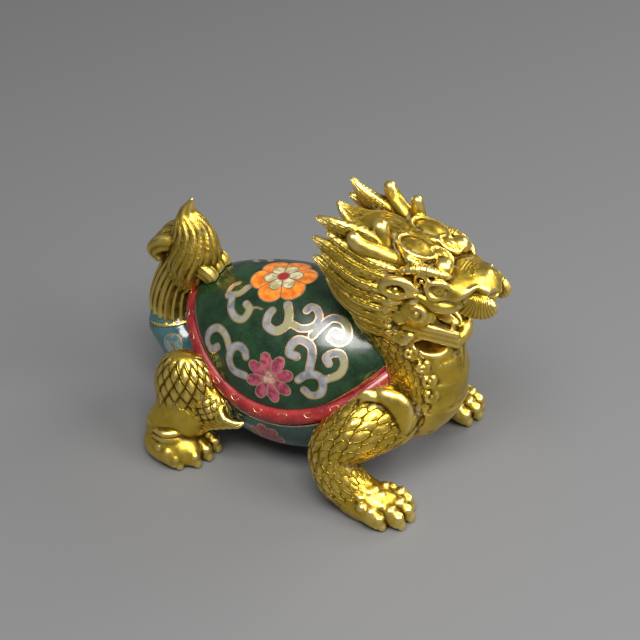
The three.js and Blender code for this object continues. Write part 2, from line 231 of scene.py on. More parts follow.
orange_flower = dict(petals=6, radius=8.4, notch=0.24, heart=5, heart_lobes=6, core=1.5, spin=0.3)
pink_flower = dict(petals=8, radius=6.3, notch=0.5, heart=1.75, heart_lobes=3, core=0.0)
flowers = [flower(shell_points, figure_start + (-11.2, -1.4, 45.3), **orange_flower)]
for side in (-1, 1):
    centre = on_flank(-13.9, 13.7, side)
    flowers.append(flower(shell_points, centre, **pink_flower, spin=0.35 * side))
nearest_flower = np.argmin([one[0] for one in flowers], axis=0)
chosen = [np.choose(nearest_flower, [one[k] for one in flowers]) for k in range(5)]
end_widening = 3.5  # how much further the red runs up the dome at its two ends
dome_lifts = (dome_height - dome_foot) * np.sin(dome_turns)
band_edge = np.full(len(shell_points), 3.0)
band_edge[1 : 1 + band_rows * SECTORS] = -1.0
towards_end = np.clip((np.abs(np.cos(turns)) - 0.5) / 0.45, 0, 1)
band_edge[1 + band_rows * SECTORS : -1] = np.ravel(dome_lifts[:, None] - end_widening * towards_end - 0.02)
carapace = make_object(
    "carapace_enamel",
    shell_points,
    shell_faces,
    {
        "band_edge": band_edge,
        "scroll_edge": scroll_edge,
        "petal_edge": chosen[1],
        "petal_border": chosen[2],
        "heart_edge": chosen[3],
        "core_edge": chosen[4],
        "pink": nearest_flower > 0,
    },
)


class Nodes:
    """Writes a material's node tree in short steps."""

    def __init__(self, name):
        self.material = bpy.data.materials.new(name)
        self.material.use_nodes = True
        self.tree = self.material.node_tree
        self.surface = self.tree.nodes["Principled BSDF"]
        place = self.tree.nodes.new("ShaderNodeTexCoord")
        self.place = place.outputs["Object"]

    def put(self, socket, value):
        if isinstance(value, bpy.types.NodeSocket):
            self.tree.links.new(value, socket)
        elif isinstance(value, tuple) and len(value) == 3 and socket.type == "RGBA":
            socket.default_value = (*value, 1)
        else:
            socket.default_value = value

    def value(self, attribute):
        node = self.tree.nodes.new("ShaderNodeAttribute")
        node.attribute_name = attribute
        return node.outputs["Fac"]

    def math(self, operation, a, b=0.0):
        node = self.tree.nodes.new("ShaderNodeMath")
        node.operation = operation
        self.put(node.inputs[0], a)
        self.put(node.inputs[1], b)
        return node.outputs[0]

    def times(self, a, b):
        return self.math("MULTIPLY", a, b)

    def ramp(self, value, low, high, start=0.0, end=1.0):
        """Moves a value softly from start to end as it goes from low to high."""
        node = self.tree.nodes.new("ShaderNodeMapRange")
        node.interpolation_type = "SMOOTHSTEP"
        for key, given in (("From Min", low), ("From Max", high), ("To Min", start), ("To Max", end)):
            node.inputs[key].default_value = given
        self.put(node.inputs["Value"], value)
        return node.outputs["Result"]

    def mix(self, amount, a, b):
        node = self.tree.nodes.new("ShaderNodeMix")
        node.data_type = "RGBA"
        self.put(node.inputs[0], amount)
        self.put(node.inputs[6], a)
        self.put(node.inputs[7], b)
        return node.outputs[2]

    def noise(self, cell, detail=3.0, rough=0.5):
        """Noise whose features are about that many millimetres across."""
        node = self.tree.nodes.new("ShaderNodeTexNoise")
        self.put(node.inputs["Vector"], self.place)
        node.inputs["Scale"].default_value = 1 / (cell * METRE)
        node.inputs["Detail"].default_value = detail
        node.inputs["Roughness"].default_value = rough
        return node.outputs["Fac"]

    def mottled(self, cell, detail, low, high, dark, light):
        """Two colours in soft patches about that many millimetres across."""
        return self.mix(self.ramp(self.noise(cell, detail), low, high), dark, light)

    def bump(self, height, depth):
        node = self.tree.nodes.new("ShaderNodeBump")
        node.inputs["Distance"].default_value = depth * METRE
        node.inputs["Strength"].default_value = 1.0
        self.put(node.inputs["Height"], height)
        self.put(self.surface.inputs["Normal"], node.outputs["Normal"])

    def set(self, **inputs):
        for key, value in inputs.items():
            self.put(self.surface.inputs[key.replace("_", " ")], value)


WIRE_HALF_WIDTH = 0.15
WIRE_COPPER = (0.72, 0.44, 0.26)


def enamel_pits(paint, cell):
    """Where tiny specks lie, as enamel has where bubbles were ground open."""
    return paint.ramp(paint.noise(cell, 1.0, 0.4), 0.69, 0.76)


def pitted(paint, colour, cell, share, speck):
    return paint.mix(paint.times(enamel_pits(paint, cell), share), colour, speck)


def wire_mask(paint, edge, half_width=WIRE_HALF_WIDTH):
    off_middle = paint.math("ABSOLUTE", paint.value(edge))
    return paint.ramp(off_middle, half_width * 0.75, half_width * 1.35, 1.0, 0.0)


def inside(paint, edge):
    return paint.math("LESS_THAN", paint.value(edge), 0.0)


def carapace_material():
    paint = Nodes("green_cloisonne")
    ground = paint.mottled(5.0, 4.0, 0.3, 0.75, (0.003, 0.016, 0.005), (0.01, 0.046, 0.014))
    ground = pitted(paint, ground, 0.36, 0.4, (0.12, 0.19, 0.1))
    ribbon = paint.mottled(2.2, 3.0, 0.32, 0.62, (0.12, 0.14, 0.165), (0.26, 0.262, 0.27))
    ribbon = paint.mix(paint.ramp(paint.noise(7.0, 1.0), 0.48, 0.6), ribbon, (0.25, 0.25, 0.12))
    ribbon = pitted(paint, ribbon, 0.5, 0.6, (0.12, 0.1, 0.09))
    colour = paint.mix(inside(paint, "scroll_edge"), ground, ribbon)
    orange = paint.mottled(1.6, 3.0, 0.35, 0.7, (0.62, 0.13, 0.008), (0.9, 0.3, 0.03))
    pink = paint.mottled(1.4, 3.0, 0.35, 0.65, (0.16, 0.018, 0.04), (0.36, 0.07, 0.11))
    is_pink = paint.value("pink")
    colour = paint.mix(inside(paint, "petal_edge"), colour, paint.mix(is_pink, orange, pink))
    cream = paint.mottled(1.5, 3.0, 0.35, 0.65, (0.34, 0.3, 0.13), (0.66, 0.6, 0.38))
    blush = paint.mottled(1.2, 3.0, 0.35, 0.65, (0.3, 0.13, 0.1), (0.5, 0.3, 0.24))
    colour = paint.mix(inside(paint, "heart_edge"), colour, paint.mix(is_pink, cream, blush))
    colour = paint.mix(inside(paint, "core_edge"), colour, (0.34, 0.012, 0.015))
    red = paint.mottled(3.5, 4.0, 0.3, 0.75, (0.15, 0.007, 0.009), (0.32, 0.02, 0.02))
    red = pitted(paint, red, 0.45, 0.35, (0.55, 0.3, 0.26))
    in_band = inside(paint, "band_edge")
    colour = paint.mix(in_band, colour, red)
    borders = paint.times(wire_mask(paint, "petal_border"), inside(paint, "petal_edge"))
    pink_heart = paint.times(is_pink, inside(paint, "heart_edge"))
    middle = paint.math("MAXIMUM", inside(paint, "core_edge"), pink_heart)
    borders = paint.times(borders, paint.math("SUBTRACT", 1.0, middle))
    wire = paint.math("MAXIMUM", borders, wire_mask(paint, "petal_edge"))
    for edge in ("scroll_edge", "heart_edge", "core_edge"):
        wire = paint.math("MAXIMUM", wire, wire_mask(paint, edge))
    wire = paint.times(wire, paint.math("SUBTRACT", 1.0, in_band))
    wire = paint.math("MAXIMUM", wire, wire_mask(paint, "band_edge", 0.12))
    colour = paint.mix(wire, colour, WIRE_COPPER)
    waves = paint.math("ADD", paint.noise(4.0, 2.0), paint.times(enamel_pits(paint, 0.42), -0.25))
    paint.bump(waves, 0.09)
    rough = paint.ramp(paint.noise(3.0, 3.0), 0.3, 0.7, 0.22, 0.36)
    paint.set(Base_Color=colour, Metallic=paint.times(wire, 0.9), Roughness=rough, Coat_Weight=0.3)
    paint.set(Coat_Roughness=0.1)
    return paint.material


carapace.data.materials.append(carapace_material())
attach(carapace, "root")
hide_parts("carapace")


# The rim marks: short crooked bits of copper wire bent into open rings, set into the red band at even
# steps before its enamel was fired, so each lies on the band and follows its roundness.

mark_radius = 1.15
mark_wire = 0.13
mark_count = 27
mark_sweep = math.radians(285)
mark_height = math.radians(38)  # up the band's round from its middle
mark_turn = 2.6  # how far one may be turned either way, in radians


def rim_marks_tree():
    """Puts an open ring at each step of the band, lays it on the shell and gives it a wire's thickness."""
    tree = bpy.data.node_groups.new("rim_marks", "GeometryNodeTree")
    tree.interface.new_socket("Geometry", in_out="INPUT", socket_type="NodeSocketGeometry")
    for name in ("Shell", "Wire"):
        kind = "NodeSocketObject" if name == "Shell" else "NodeSocketMaterial"
        tree.interface.new_socket(name, in_out="INPUT", socket_type=kind)
    for name in ("Radius", "Thickness", "Sweep"):
        tree.interface.new_socket(name, in_out="INPUT", socket_type="NodeSocketFloat")
    tree.interface.new_socket("Marks", in_out="INPUT", socket_type="NodeSocketInt")
    tree.interface.new_socket("Geometry", in_out="OUTPUT", socket_type="NodeSocketGeometry")

    def add(kind, **inputs):
        node = tree.nodes.new(kind)
        for key, value in inputs.items():
            socket = node.inputs[key.replace("_", " ")]
            if isinstance(value, bpy.types.NodeSocket):
                tree.links.new(value, socket)
            else:
                socket.default_value = value
        return node

    given = tree.nodes.new("NodeGroupInput").outputs
    steps = add("GeometryNodeCurveToPoints", Curve=given["Geometry"], Count=given["Marks"])
    steps.mode = "COUNT"
    spread = add("FunctionNodeRandomValue", Seed=7)
    spread.data_type = "FLOAT"
    spread.inputs[2].default_value = -mark_turn
    spread.inputs[3].default_value = mark_turn
    spin = tree.nodes.new("ShaderNodeCombineXYZ")
    tree.links.new(spread.outputs[1], spin.inputs[2])
    turned = tree.nodes.new("FunctionNodeRotateRotation")
    turned.rotation_space = "LOCAL"
    tree.links.new(steps.outputs["Rotation"], turned.inputs[0])
    upright = tree.nodes.new("FunctionNodeEulerToRotation")
    tree.links.new(spin.outputs[0], upright.inputs[0])
    edge_on = tree.nodes.new("FunctionNodeRotateRotation")
    edge_on.rotation_space = "LOCAL"
    quarter = tree.nodes.new("FunctionNodeEulerToRotation")
    quarter.inputs[0].default_value = (0, math.pi / 2, 0)
    tree.links.new(quarter.outputs[0], turned.inputs[1])
    tree.links.new(turned.outputs[0], edge_on.inputs[0])
    tree.links.new(upright.outputs[0], edge_on.inputs[1])
    arc = add("GeometryNodeCurveArc", Resolution=14, Radius=given["Radius"], Sweep_Angle=given["Sweep"])
    arc.mode = "RADIUS"
    placed = add("GeometryNodeInstanceOnPoints", Points=steps.outputs[0], Instance=arc.outputs[0])
    tree.links.new(edge_on.outputs[0], placed.inputs["Rotation"])
    real = add("GeometryNodeRealizeInstances", Geometry=placed.outputs[0])
    shell = add("GeometryNodeObjectInfo", Object=given["Shell"])
    touch = tree.nodes.new("GeometryNodeProximity")
    touch.target_element = "FACES"
    tree.links.new(shell.outputs["Geometry"], touch.inputs[0])
    laid = add("GeometryNodeSetPosition", Geometry=real.outputs[0], Position=touch.outputs["Position"])
    round_section = add("GeometryNodeCurvePrimitiveCircle", Resolution=8, Radius=given["Thickness"])
    wire = add("GeometryNodeCurveToMesh", Curve=laid.outputs[0], Profile_Curve=round_section.outputs[0])
    wire.inputs["Fill Caps"].default_value = True
    whole = add("GeometryNodeRealizeInstances", Geometry=wire.outputs[0])
    coloured = add("GeometryNodeSetMaterial", Geometry=whole.outputs[0], Material=given["Wire"])
    out = tree.nodes.new("NodeGroupOutput")
    tree.links.new(coloured.outputs[0], out.inputs[0])
    return tree


def run_tree(name, source, tree, values):
    """Runs a tree on a source object and returns its result as a plain mesh object."""
    modifier = source.modifiers.new(name, "NODES")
    modifier.node_group = tree
    for item in tree.interface.items_tree:
        if item.in_out == "INPUT" and item.name in values:
            modifier[item.identifier] = values[item.name]
    ready = source.evaluated_get(bpy.context.evaluated_depsgraph_get())
    mesh = bpy.data.meshes.new_from_object(ready, depsgraph=bpy.context.evaluated_depsgraph_get())
    bpy.data.objects.remove(source)
    mesh.name = name
    made = bpy.data.objects.new(name, mesh)
    bpy.context.scene.collection.objects.link(made)
    return made


def wire_material():
    metal = Nodes("copper_wire")
    tone = metal.ramp(metal.noise(0.8, 3.0), 0.3, 0.7)
    metal.set(Base_Color=metal.mix(tone, (0.5, 0.27, 0.12), (0.85, 0.6, 0.34)), Metallic=1.0)
    metal.set(Roughness=metal.ramp(metal.noise(0.5, 2.0), 0.3, 0.7, 0.25, 0.45))
    metal.bump(metal.noise(0.2, 3.0), 0.02)
    return metal.material


band_path = bpy.data.curves.new("band_path", "CURVE")
band_path.dimensions = "3D"
spline = band_path.splines.new("POLY")
path_turns = np.linspace(0, 2 * np.pi, 180, endpoint=False)
mark_inset = band_depth * (1 - math.cos(mark_height))
path_places = oval(1, mark_inset, band_half_height * math.sin(mark_height), rim_rise, path_turns) * METRE
spline.points.add(len(path_places) - 1)
spline.points.foreach_set("co", np.hstack([path_places, np.ones((len(path_places), 1))]).ravel())
spline.use_cyclic_u = True
path_object = bpy.data.objects.new("band_path", band_path)
bpy.context.scene.collection.objects.link(path_object)
mark_values = {"Shell": carapace, "Wire": wire_material(), "Marks": mark_count, "Sweep": mark_sweep}
mark_values |= {"Radius": mark_radius * METRE, "Thickness": mark_wire * METRE}
rim_marks = run_tree("rim_marks", path_object, rim_marks_tree(), mark_values)
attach(rim_marks, "root")


# The belly: a deep copper bowl under the carapace, in dark teal enamel, drawn out behind into a
# turquoise root that the tail is fixed on. A bare copper edge shows where it meets the rim.


class Clay:
    """A block of signed distances, negative inside, in which rounded forms are joined and cut."""

    far = 3.0  # held by every cell that no form comes near
    room = 1.6  # kept round a whole form, for its fillet and its relief
    near = 1.4  # the same round one step of a curve

    def __init__(self, low, high, cell, calm=0.02):
        self.cell = cell
        self.calm = calm  # how unlike two cells' slopes may be where one face covers both
        self.low = np.asarray(low, dtype=np.float32) + figure_start - 4 * cell
        counts = np.ceil((np.asarray(high) + figure_start - self.low) / cell).astype(int) + 5
        self.field = np.full(counts, self.far, dtype=np.float32)
        self.chased = np.zeros((4, *counts), dtype=np.float32)

    def window(self, low, high):
        """The part of the block between two corners: its slices and its three axes."""
        first = np.clip(np.floor((low - self.low) / self.cell).astype(int), 0, None)
        last = np.minimum(np.ceil((high - self.low) / self.cell).astype(int) + 1, self.field.shape)
        if (last <= first).any():
            return None, None
        slices = tuple(slice(a, b) for a, b in zip(first, last))
        axes = [self.low[i] + self.cell * np.arange(first[i], last[i], dtype=np.float32) for i in range(3)]
        return slices, (axes[0][:, None, None], axes[1][None, :, None], axes[2][None, None, :])

    def blend(self, slices, form, radius, chased=(0, 0, 0, 0), take_away=False):
        """Joins a form to what is there, or takes it away, with a fillet of that radius. Where it wins,
        the fine pattern that is chased into it goes with it."""
        there = self.field[slices]
        if take_away:
            there, form = -there, form
        else:
            closer = form < there
            for layer, values in zip(self.chased, chased):
                layer[slices] = np.where(closer, values, layer[slices])
        if radius > 0:
            share = np.clip(0.5 + 0.5 * (form - there) / radius, 0, 1)
            mixed = form * (1 - share) + there * share - radius * share * (1 - share)
        else:
            mixed = np.minimum(there, form)
        self.field[slices] = -mixed if take_away else mixed

    def sweep(self, spine, sizes, face=(0, 0, 1), relief=None, blend=0.7, per_span=6):
        """A rounded form along a curve: a half width and half thickness at each of its points.
        relief(s, angle, lateral) gives what is added to its surface, and its chased pattern: s is the
        way along it in millimetres."""
        line = smooth(np.asarray(spine, dtype=float) + figure_start, per_span)
        bulk = np.maximum(smooth(sizes, per_span), 0.12)
        along = np.gradient(line, axis=0)
        along /= np.linalg.norm(along, axis=1)[:, None]
        across = np.cross(np.asarray(face, dtype=float), along)
        across /= np.linalg.norm(across, axis=1)[:, None]
        out = np.cross(along, across)
        margin = bulk.max() + self.room
        slices, axes = self.window(line.min(axis=0) - margin, line.max(axis=0) + margin)
        if slices is None:
            return
        form = np.full([s.stop - s.start for s in slices], self.far, dtype=np.float32)
        chased = np.zeros((4, *form.shape), dtype=np.float32)
        base = self.low + self.cell * np.array([s.start for s in slices])
        travelled = 0.0
        for i in range(len(line) - 1):
            a, b = line[i], line[i + 1]
            step = b - a
            length = float(np.linalg.norm(step))
            if length < 1e-6:
                continue
            reach = max(bulk[i].max(), bulk[i + 1].max()) + self.near
            first = np.clip(((np.minimum(a, b) - reach - base) / self.cell).astype(int), 0, None)
            last = np.minimum(((np.maximum(a, b) + reach - base) / self.cell).astype(int) + 2, form.shape)
            if (last <= first).any():
                travelled += length
                continue
            cut = tuple(slice(p, q) for p, q in zip(first, last))
            x = axes[0][cut[0]] - a[0]
            y = axes[1][:, cut[1]] - a[1]
            z = axes[2][:, :, cut[2]] - a[2]
            unit = step / length
            run = x * unit[0] + y * unit[1] + z * unit[2]
            t = np.clip(run / length, 0, 1)
            beyond = run - t * length
            offsets = []
            for ways in (across, out):
                at_a = x * ways[i][0] + y * ways[i][1] + z * ways[i][2]
                at_b = (x - step[0]) * ways[i + 1][0] + (y - step[1]) * ways[i + 1][1]
                at_b = at_b + (z - step[2]) * ways[i + 1][2]
                offsets.append(at_a * (1 - t) + at_b * t)
            half_width, half_thick = (bulk[i][k] * (1 - t) + bulk[i + 1][k] * t for k in (0, 1))
            least = np.minimum(half_width, half_thick)
            u, v, w = offsets[0] / half_width, offsets[1] / half_thick, beyond / least
            r = np.sqrt(u * u + v * v + w * w)
            steepness = np.sqrt((u / half_width) ** 2 + (v / half_thick) ** 2 + (w / least) ** 2)
            distance = r * (r - 1) / (steepness + 1e-6)
            if relief is not None:
                added, pattern = relief(travelled + t * length, np.arctan2(v, u), u)
                distance = distance - added
                closer = distance < form[cut]
                for layer, values in zip(chased, pattern):
                    layer[cut] = np.where(closer, values, layer[cut])
            form[cut] = np.minimum(form[cut], distance)
            travelled += length
        self.blend(slices, form, blend, chased)

    def lump(self, place, radii, tilt=0, turn=0, relief=None, blend=0.7, take_away=False):
        """An egg-shaped form, tilted nose up by degrees and turned about the vertical.
        relief(a, b, c) gives what is added, and its pattern, from places as shares of its radii."""
        centre = np.asarray(place, dtype=float) + figure_start
        margin = max(radii) + self.room
        slices, (x, y, z) = self.window(centre - margin, centre + margin)
        if slices is None:
            return
        x, y, z = x - centre[0], y - centre[1], z - centre[2]
        c, s = math.cos(math.radians(turn)), math.sin(math.radians(turn))
        x, y = x * c + y * s, y * c - x * s
        c, s = math.cos(math.radians(tilt)), math.sin(math.radians(tilt))
        x, z = x * c + z * s, z * c - x * s
        a, b, c = x / radii[0], y / radii[1], z / radii[2]
        r = np.sqrt(a * a + b * b + c * c)
        steepness = np.sqrt((a / radii[0]) ** 2 + (b / radii[1]) ** 2 + (c / radii[2]) ** 2)
        form = r * (r - 1) / (steepness + 1e-6)
        pattern = (0, 0, 0, 0)
        if relief is not None:
            added, pattern = relief(a, b, c)
            form = form - added
        self.blend(slices, form.astype(np.float32), blend, pattern, take_away)

    def stamp(self, points, faces, grow=0.0, take_away=True):
        """Takes away, or joins, a closed mesh grown by a little."""
        triangles = []
        for face in faces:
            triangles.append(face[:3])
            if len(face) == 4:
                triangles.append((face[0], face[2], face[3]))
        places = (np.asarray(points) - self.low) / self.cell
        level = vdb.FloatGrid.createLevelSetFromPolygons(
            places.astype(np.float32), triangles=np.array(triangles, dtype=np.uint32), halfWidth=5.0
        )
        form = np.empty(self.field.shape, dtype=np.float32)
        level.copyToArray(form)
        everything = tuple(slice(0, n) for n in self.field.shape)
        self.blend(everything, form * self.cell - grow, 0.0, take_away=take_away)

    def stand(self):
        """Cuts everything below the surface that the figure stands on, which leaves flat soles."""
        z = self.low[2] + self.cell * np.arange(self.field.shape[2], dtype=np.float32)
        self.field = np.maximum(self.field, -z[None, None, :])

    def fired(self, name, attributes=None):
        """The block's surface as an object, with how hollow each place is in its attribute."""
        grid = vdb.FloatGrid(self.far)
        grid.copyFromArray(self.field)
        points, triangles, quads = grid.convertToPolygons(isovalue=0.0, adaptivity=self.calm)
        corners = biggest_body(len(points), np.vstack([quads, triangles[:, [0, 1, 2, 2]]]))
        used, corners = np.unique(corners, return_inverse=True)
        points = points[used]
        corners = corners.reshape(-1, 4)[:, ::-1].tolist()
        faces = [face[1:] if face[0] == face[1] else face for face in corners]
        # A blurred copy is below zero where the surface is hollow, and above zero where it stands out.
        soft = np.clip(self.field, -1.2, 1.2)
        for axis in (0, 1, 2, 0, 1, 2):
            soft = box_blur(soft, axis, 2)
        hollow = -sample(soft, points) / self.cell
        places = points * self.cell + self.low
        values = {"hollow": hollow}
        for key, layer in zip(("chased_u", "chased_v", "strands", "scales"), self.chased):
            if layer.any():
                values[key] = sample(layer, points)
        for key, worked_out in (attributes or {}).items():
            values[key] = worked_out(places)
        return make_object(name, places, faces, values)


def box_blur(field, axis, reach):
    """Each value's mean with those that are up to that many cells from it along an axis."""
    before = np.take(field, [0] * (reach + 1), axis)
    after = np.take(field, [-1] * reach, axis)
    padded = np.concatenate([before, field, after], axis)
    total = np.cumsum(padded, axis=axis, dtype=np.float64)
    size = field.shape[axis]
    high = np.take(total, np.arange(2 * reach + 1, 2 * reach + 1 + size), axis)
    low = np.take(total, np.arange(0, size), axis)
    return ((high - low) / (2 * reach + 1)).astype(np.float32)


def sample(field, points):
    """The block's values between its cells."""
    base = np.clip(np.floor(points).astype(int), 0, np.array(field.shape) - 2)
    share = points - base
    total = np.zeros(len(points))
    for corner in np.ndindex(2, 2, 2):
        weight = np.prod(np.where(corner, share, 1 - share), axis=1)
        i, j, k = (base + corner).T
        total += weight * field[i, j, k]
    return total


def biggest_body(count, corners):
    """The faces of the largest connected body, so that no crumb is left floating."""
    label = np.arange(count)
    while True:
        least = label[corners].min(axis=1)
        lower = label.copy()
        for k in range(4):
            np.minimum.at(lower, corners[:, k], least)
        lower = lower[lower]
        if (lower == label).all():
            break
        label = lower
    names, sizes = np.unique(label[corners[:, 0]], return_counts=True)
    return corners[label[corners[:, 0]] == names[np.argmax(sizes)]]


belly_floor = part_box("belly")[0][2] / METRE
belly_depth = rim_height - band_half_height - belly_floor
seam_lift = -band_half_height - 0.3
bowl_turns = np.linspace(0, 2 * np.pi, 120, endpoint=False)
bowl_profile = smooth([(0.35, 1), (0.64, 0.91), (0.84, 0.62), (0.93, 0.2), (0.94, 0)], 5)
bowl_rings = []
for radius, sink in bowl_profile:
    lift = -band_half_height - belly_depth * sink + (0.3 * (sink - 1))
    bowl_rings.append(oval(radius, 0, lift, rim_rise * (1 - sink) * (radius if sink else 1), bowl_turns))
bowl_rings.append(oval(0.94, 0, seam_lift, rim_rise * 0.94**2, bowl_turns))
bowl_rings.append(oval(0.5, 0, seam_lift, rim_rise * 0.25, bowl_turns))
bowl_bottom = (shell_middle, figure_start[1], belly_floor)
bowl_top = (shell_middle, figure_start[1], rim_height + seam_lift)
bowl_points, bowl_faces = skin(np.array(bowl_rings), bowl_bottom, bowl_top)
ROOT_SPINE = [(-28, 0, 15), (-37, 0, 16.5), (-43.3, 0, 21.5)]
ROOT_SIZES = [(13, 8), (10, 7.6), (7, 7)]
belly_clay = Clay((-46, -24, 3), (27, 24, 31), 0.42, calm=0.0)
belly_clay.stamp(bowl_points, bowl_faces, take_away=False)
belly_clay.sweep(ROOT_SPINE, ROOT_SIZES, blend=2.0)
belly_clay.stamp(shell_points, shell_faces, grow=0.12)
enamel_curls = []
for x, z, size in ((-34, 15.5, 2.6), (-39.5, 19.5, 2.4), (-12, 10, 3.0), (8, 11.5, 2.8)):
    angles = np.linspace(0, 4.6, 22)
    reach = size * (1 - angles / 7)
    ahead = figure_start[0] + x + reach * np.cos(angles)
    enamel_curls.append(np.stack([ahead, np.zeros(22), z + reach * np.sin(angles)], -1))


def belly_curl(places):
    """Distance from the edge of the curls as seen straight from the side, on both flanks."""
    return distance_to_lines(places * (1, 0, 1), enamel_curls) - 0.9


def belly_bloom(places):
    """Distance from the outline of the seven-petalled flower, seen in the same way."""
    away = (places - (figure_start[0] - 6.4, 0, 11)) * (1, 0, 1)
    rho = np.linalg.norm(away, axis=1)
    phi = np.arctan2(away[:, 2], away[:, 0])
    return rho - 4.6 * (0.64 + 0.36 * np.abs(np.cos(phi * 3.5)) ** 0.6)


def seam_edge(places):
    """How far below the seam with the rim a place lies."""
    turn = np.arctan2(places[:, 1] / rim_half_width, (places[:, 0] - shell_middle) / rim_half_length)
    return rim_height + seam_lift + rim_rise * 0.9 * np.cos(turn) ** 2 - places[:, 2]


belly = belly_clay.fired(
    "belly_enamel",
    {
        "curl_edge": belly_curl,
        "bloom_edge": belly_bloom,
        "seam_edge": seam_edge,
        "behind": lambda places: np.clip((figure_start[0] - 26 - places[:, 0]) / 8, 0, 1),
    },
)


def belly_material():
    paint = Nodes("teal_cloisonne")
    cloud = paint.ramp(paint.noise(5.0, 4.0), 0.3, 0.7)
    under = paint.mix(cloud, (0.01, 0.036, 0.032), (0.022, 0.075, 0.066))
    root = paint.mix(cloud, (0.018, 0.066, 0.075), (0.042, 0.13, 0.145))
    colour = paint.mix(paint.value("behind"), under, root)
    colour = pitted(paint, colour, 0.45, 0.4, (0.3, 0.4, 0.36))
    ribbon = paint.mottled(2.0, 3.0, 0.35, 0.65, (0.05, 0.12, 0.13), (0.14, 0.22, 0.21))
    colour = paint.mix(inside(paint, "curl_edge"), colour, ribbon)
    rose = paint.mottled(1.6, 3.0, 0.35, 0.65, (0.17, 0.014, 0.02), (0.3, 0.05, 0.06))
    colour = paint.mix(inside(paint, "bloom_edge"), colour, rose)
    wire = paint.math("MAXIMUM", wire_mask(paint, "curl_edge"), wire_mask(paint, "bloom_edge"))
    wire = paint.math("MAXIMUM", wire, paint.ramp(paint.value("seam_edge"), 0.35, 0.5, 1.0, 0.0))
    colour = paint.mix(wire, colour, WIRE_COPPER)
    paint.bump(paint.noise(4.0, 3.0), 0.1)
    paint.set(Base_Color=colour, Metallic=paint.times(wire, 0.9), Coat_Weight=0.5)
    paint.set(Roughness=paint.ramp(paint.noise(3.0, 3.0), 0.3, 0.7, 0.14, 0.28), Coat_Roughness=0.1)
    return paint.material


belly.data.materials.append(belly_material())
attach(belly, "root")
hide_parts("belly")


# The forepart: one gilt casting of the head, mane, neck, chest and both forelegs, chased after
# casting: locks cut into strands, throat plates, a scaled neck and scaled upper legs. It stands on
# its two forepaws and is soldered against the front of both shells.


def grooved(phase, depth, roundness=0.7):
    """Rounded strands with sharp grooves between them, one for each whole step of the phase."""
    return depth * (np.abs(np.sin(np.pi * phase)) ** roundness - 0.6)


def strands(count, depth=0.36, wander=0.0):
    """Parallel strands along a lock, side by side on its outer face."""

    def relief(s, angle, lateral):
        phase = count * (np.clip(lateral, -1.15, 1.15) * 0.5 + 0.5) + wander * np.sin(s * 0.4)
        return grooved(phase, depth, 0.6), (phase, s, 1, 0)

    return relief


def scales(s, turns_round, length, around, depth):
    """Rounded scales in rows, each a little domed and a little higher at its free point."""
    u = s / length + around * turns_round
    v = s / length - around * turns_round
    fu = u - np.floor(u) - 0.5
    fv = v - np.floor(v) - 0.5
    dome = 1 - (2 * np.cbrt(np.abs(fu) ** 3 + np.abs(fv) ** 3)) ** 2
    return depth * (dome - 0.55 + 0.4 * (fu + fv)), u, v


def fade(value, start, end):
    """Rises softly from 0 to 1 between start and end."""
    share = np.clip((value - start) / (end - start), 0, 1)
    return share * share * (3 - 2 * share)


def trunk_relief(s, angle, lateral):
    """Broad plates down the throat and chest, and scales on the neck's sides."""
    off_front = np.abs(angle)
    plate_run = s / 4.6 + 0.34 * np.cos(angle * 1.5)
    along = plate_run - np.floor(plate_run)
    plate = 0.5 * (along**1.6 * (1 - fade(along, 0.86, 1.0)) - 0.3)
    side, u, v = scales(s, angle / (2 * np.pi), 3.4, 23, 0.42)
    front = 1 - fade(off_front, 0.8, 0.92)
    flank = fade(off_front, 0.92, 1.02)
    return plate * front + side * flank, (u, v, 0, flank)


def limb_relief(s, angle, lateral):
    """Scales down the foreleg, gone before the paw."""
    left = 1 - fade(s, 25, 32)
    height, u, v = scales(s, angle / (2 * np.pi), 3.7, 13, 0.42)
    return height * left, (u, v, 0, left)


def ridged(count, depth):
    """Rounded strands along a roll, all the way round it."""

    def relief(s, angle, lateral):
        phase = count * angle / np.pi
        return grooved(phase, depth), (phase * 2, s, 1, 0)

    return relief


def combed(pitch, depth):
    """Ribs across a form, like the rows of a comb."""

    def relief(s, angle, lateral):
        phase = s / pitch
        return grooved(phase, depth), (phase, s, 1, 0)

    return relief


def blocky(s, angle, lateral):
    """Fills out the corners of a round form, which makes it squarer."""
    return 0.75 * np.sin(2 * angle) ** 2, (0, 0, 0, 0)


def pleats(a, b, c):
    """Pleats that spread downwards from a hinge above, like a scallop's."""
    phase = 8.5 * np.arctan2(4.7 * a - 1.4, 5.4 - 3.1 * c)
    return grooved(phase, 0.3), (phase, phase * 0, 1, 0)


def mirrored(side, *places):
    """The same places on the animal's right (-1) or left (1)."""
    return [(x, side * y, z) for x, y, z in places]


def even(thickness, count):
    """The same half width and half thickness at each of a curve's points."""
    return [(thickness, thickness)] * count


def curl(clay, centre, radius, side, heading=0.0, opening=0.6, thick=0.36):
    """A rolled end: an open ring on a surface that faces sideways and a little ahead, round a ball."""
    angles = np.linspace(opening, opening + 4.9, 9)
    turned = math.radians(heading)
    ahead = np.array([math.cos(turned), -side * math.sin(turned), 0])
    ring = np.array(centre) + radius * (np.cos(angles)[:, None] * ahead + np.sin(angles)[:, None] * (0, 0, 1))
    facing = (math.sin(turned), side * math.cos(turned), 0)
    clay.sweep(ring, even(radius * thick, 9), facing, blend=0.15, per_span=3)
    clay.lump(centre, (radius * 0.42,) * 3, blend=0.1)


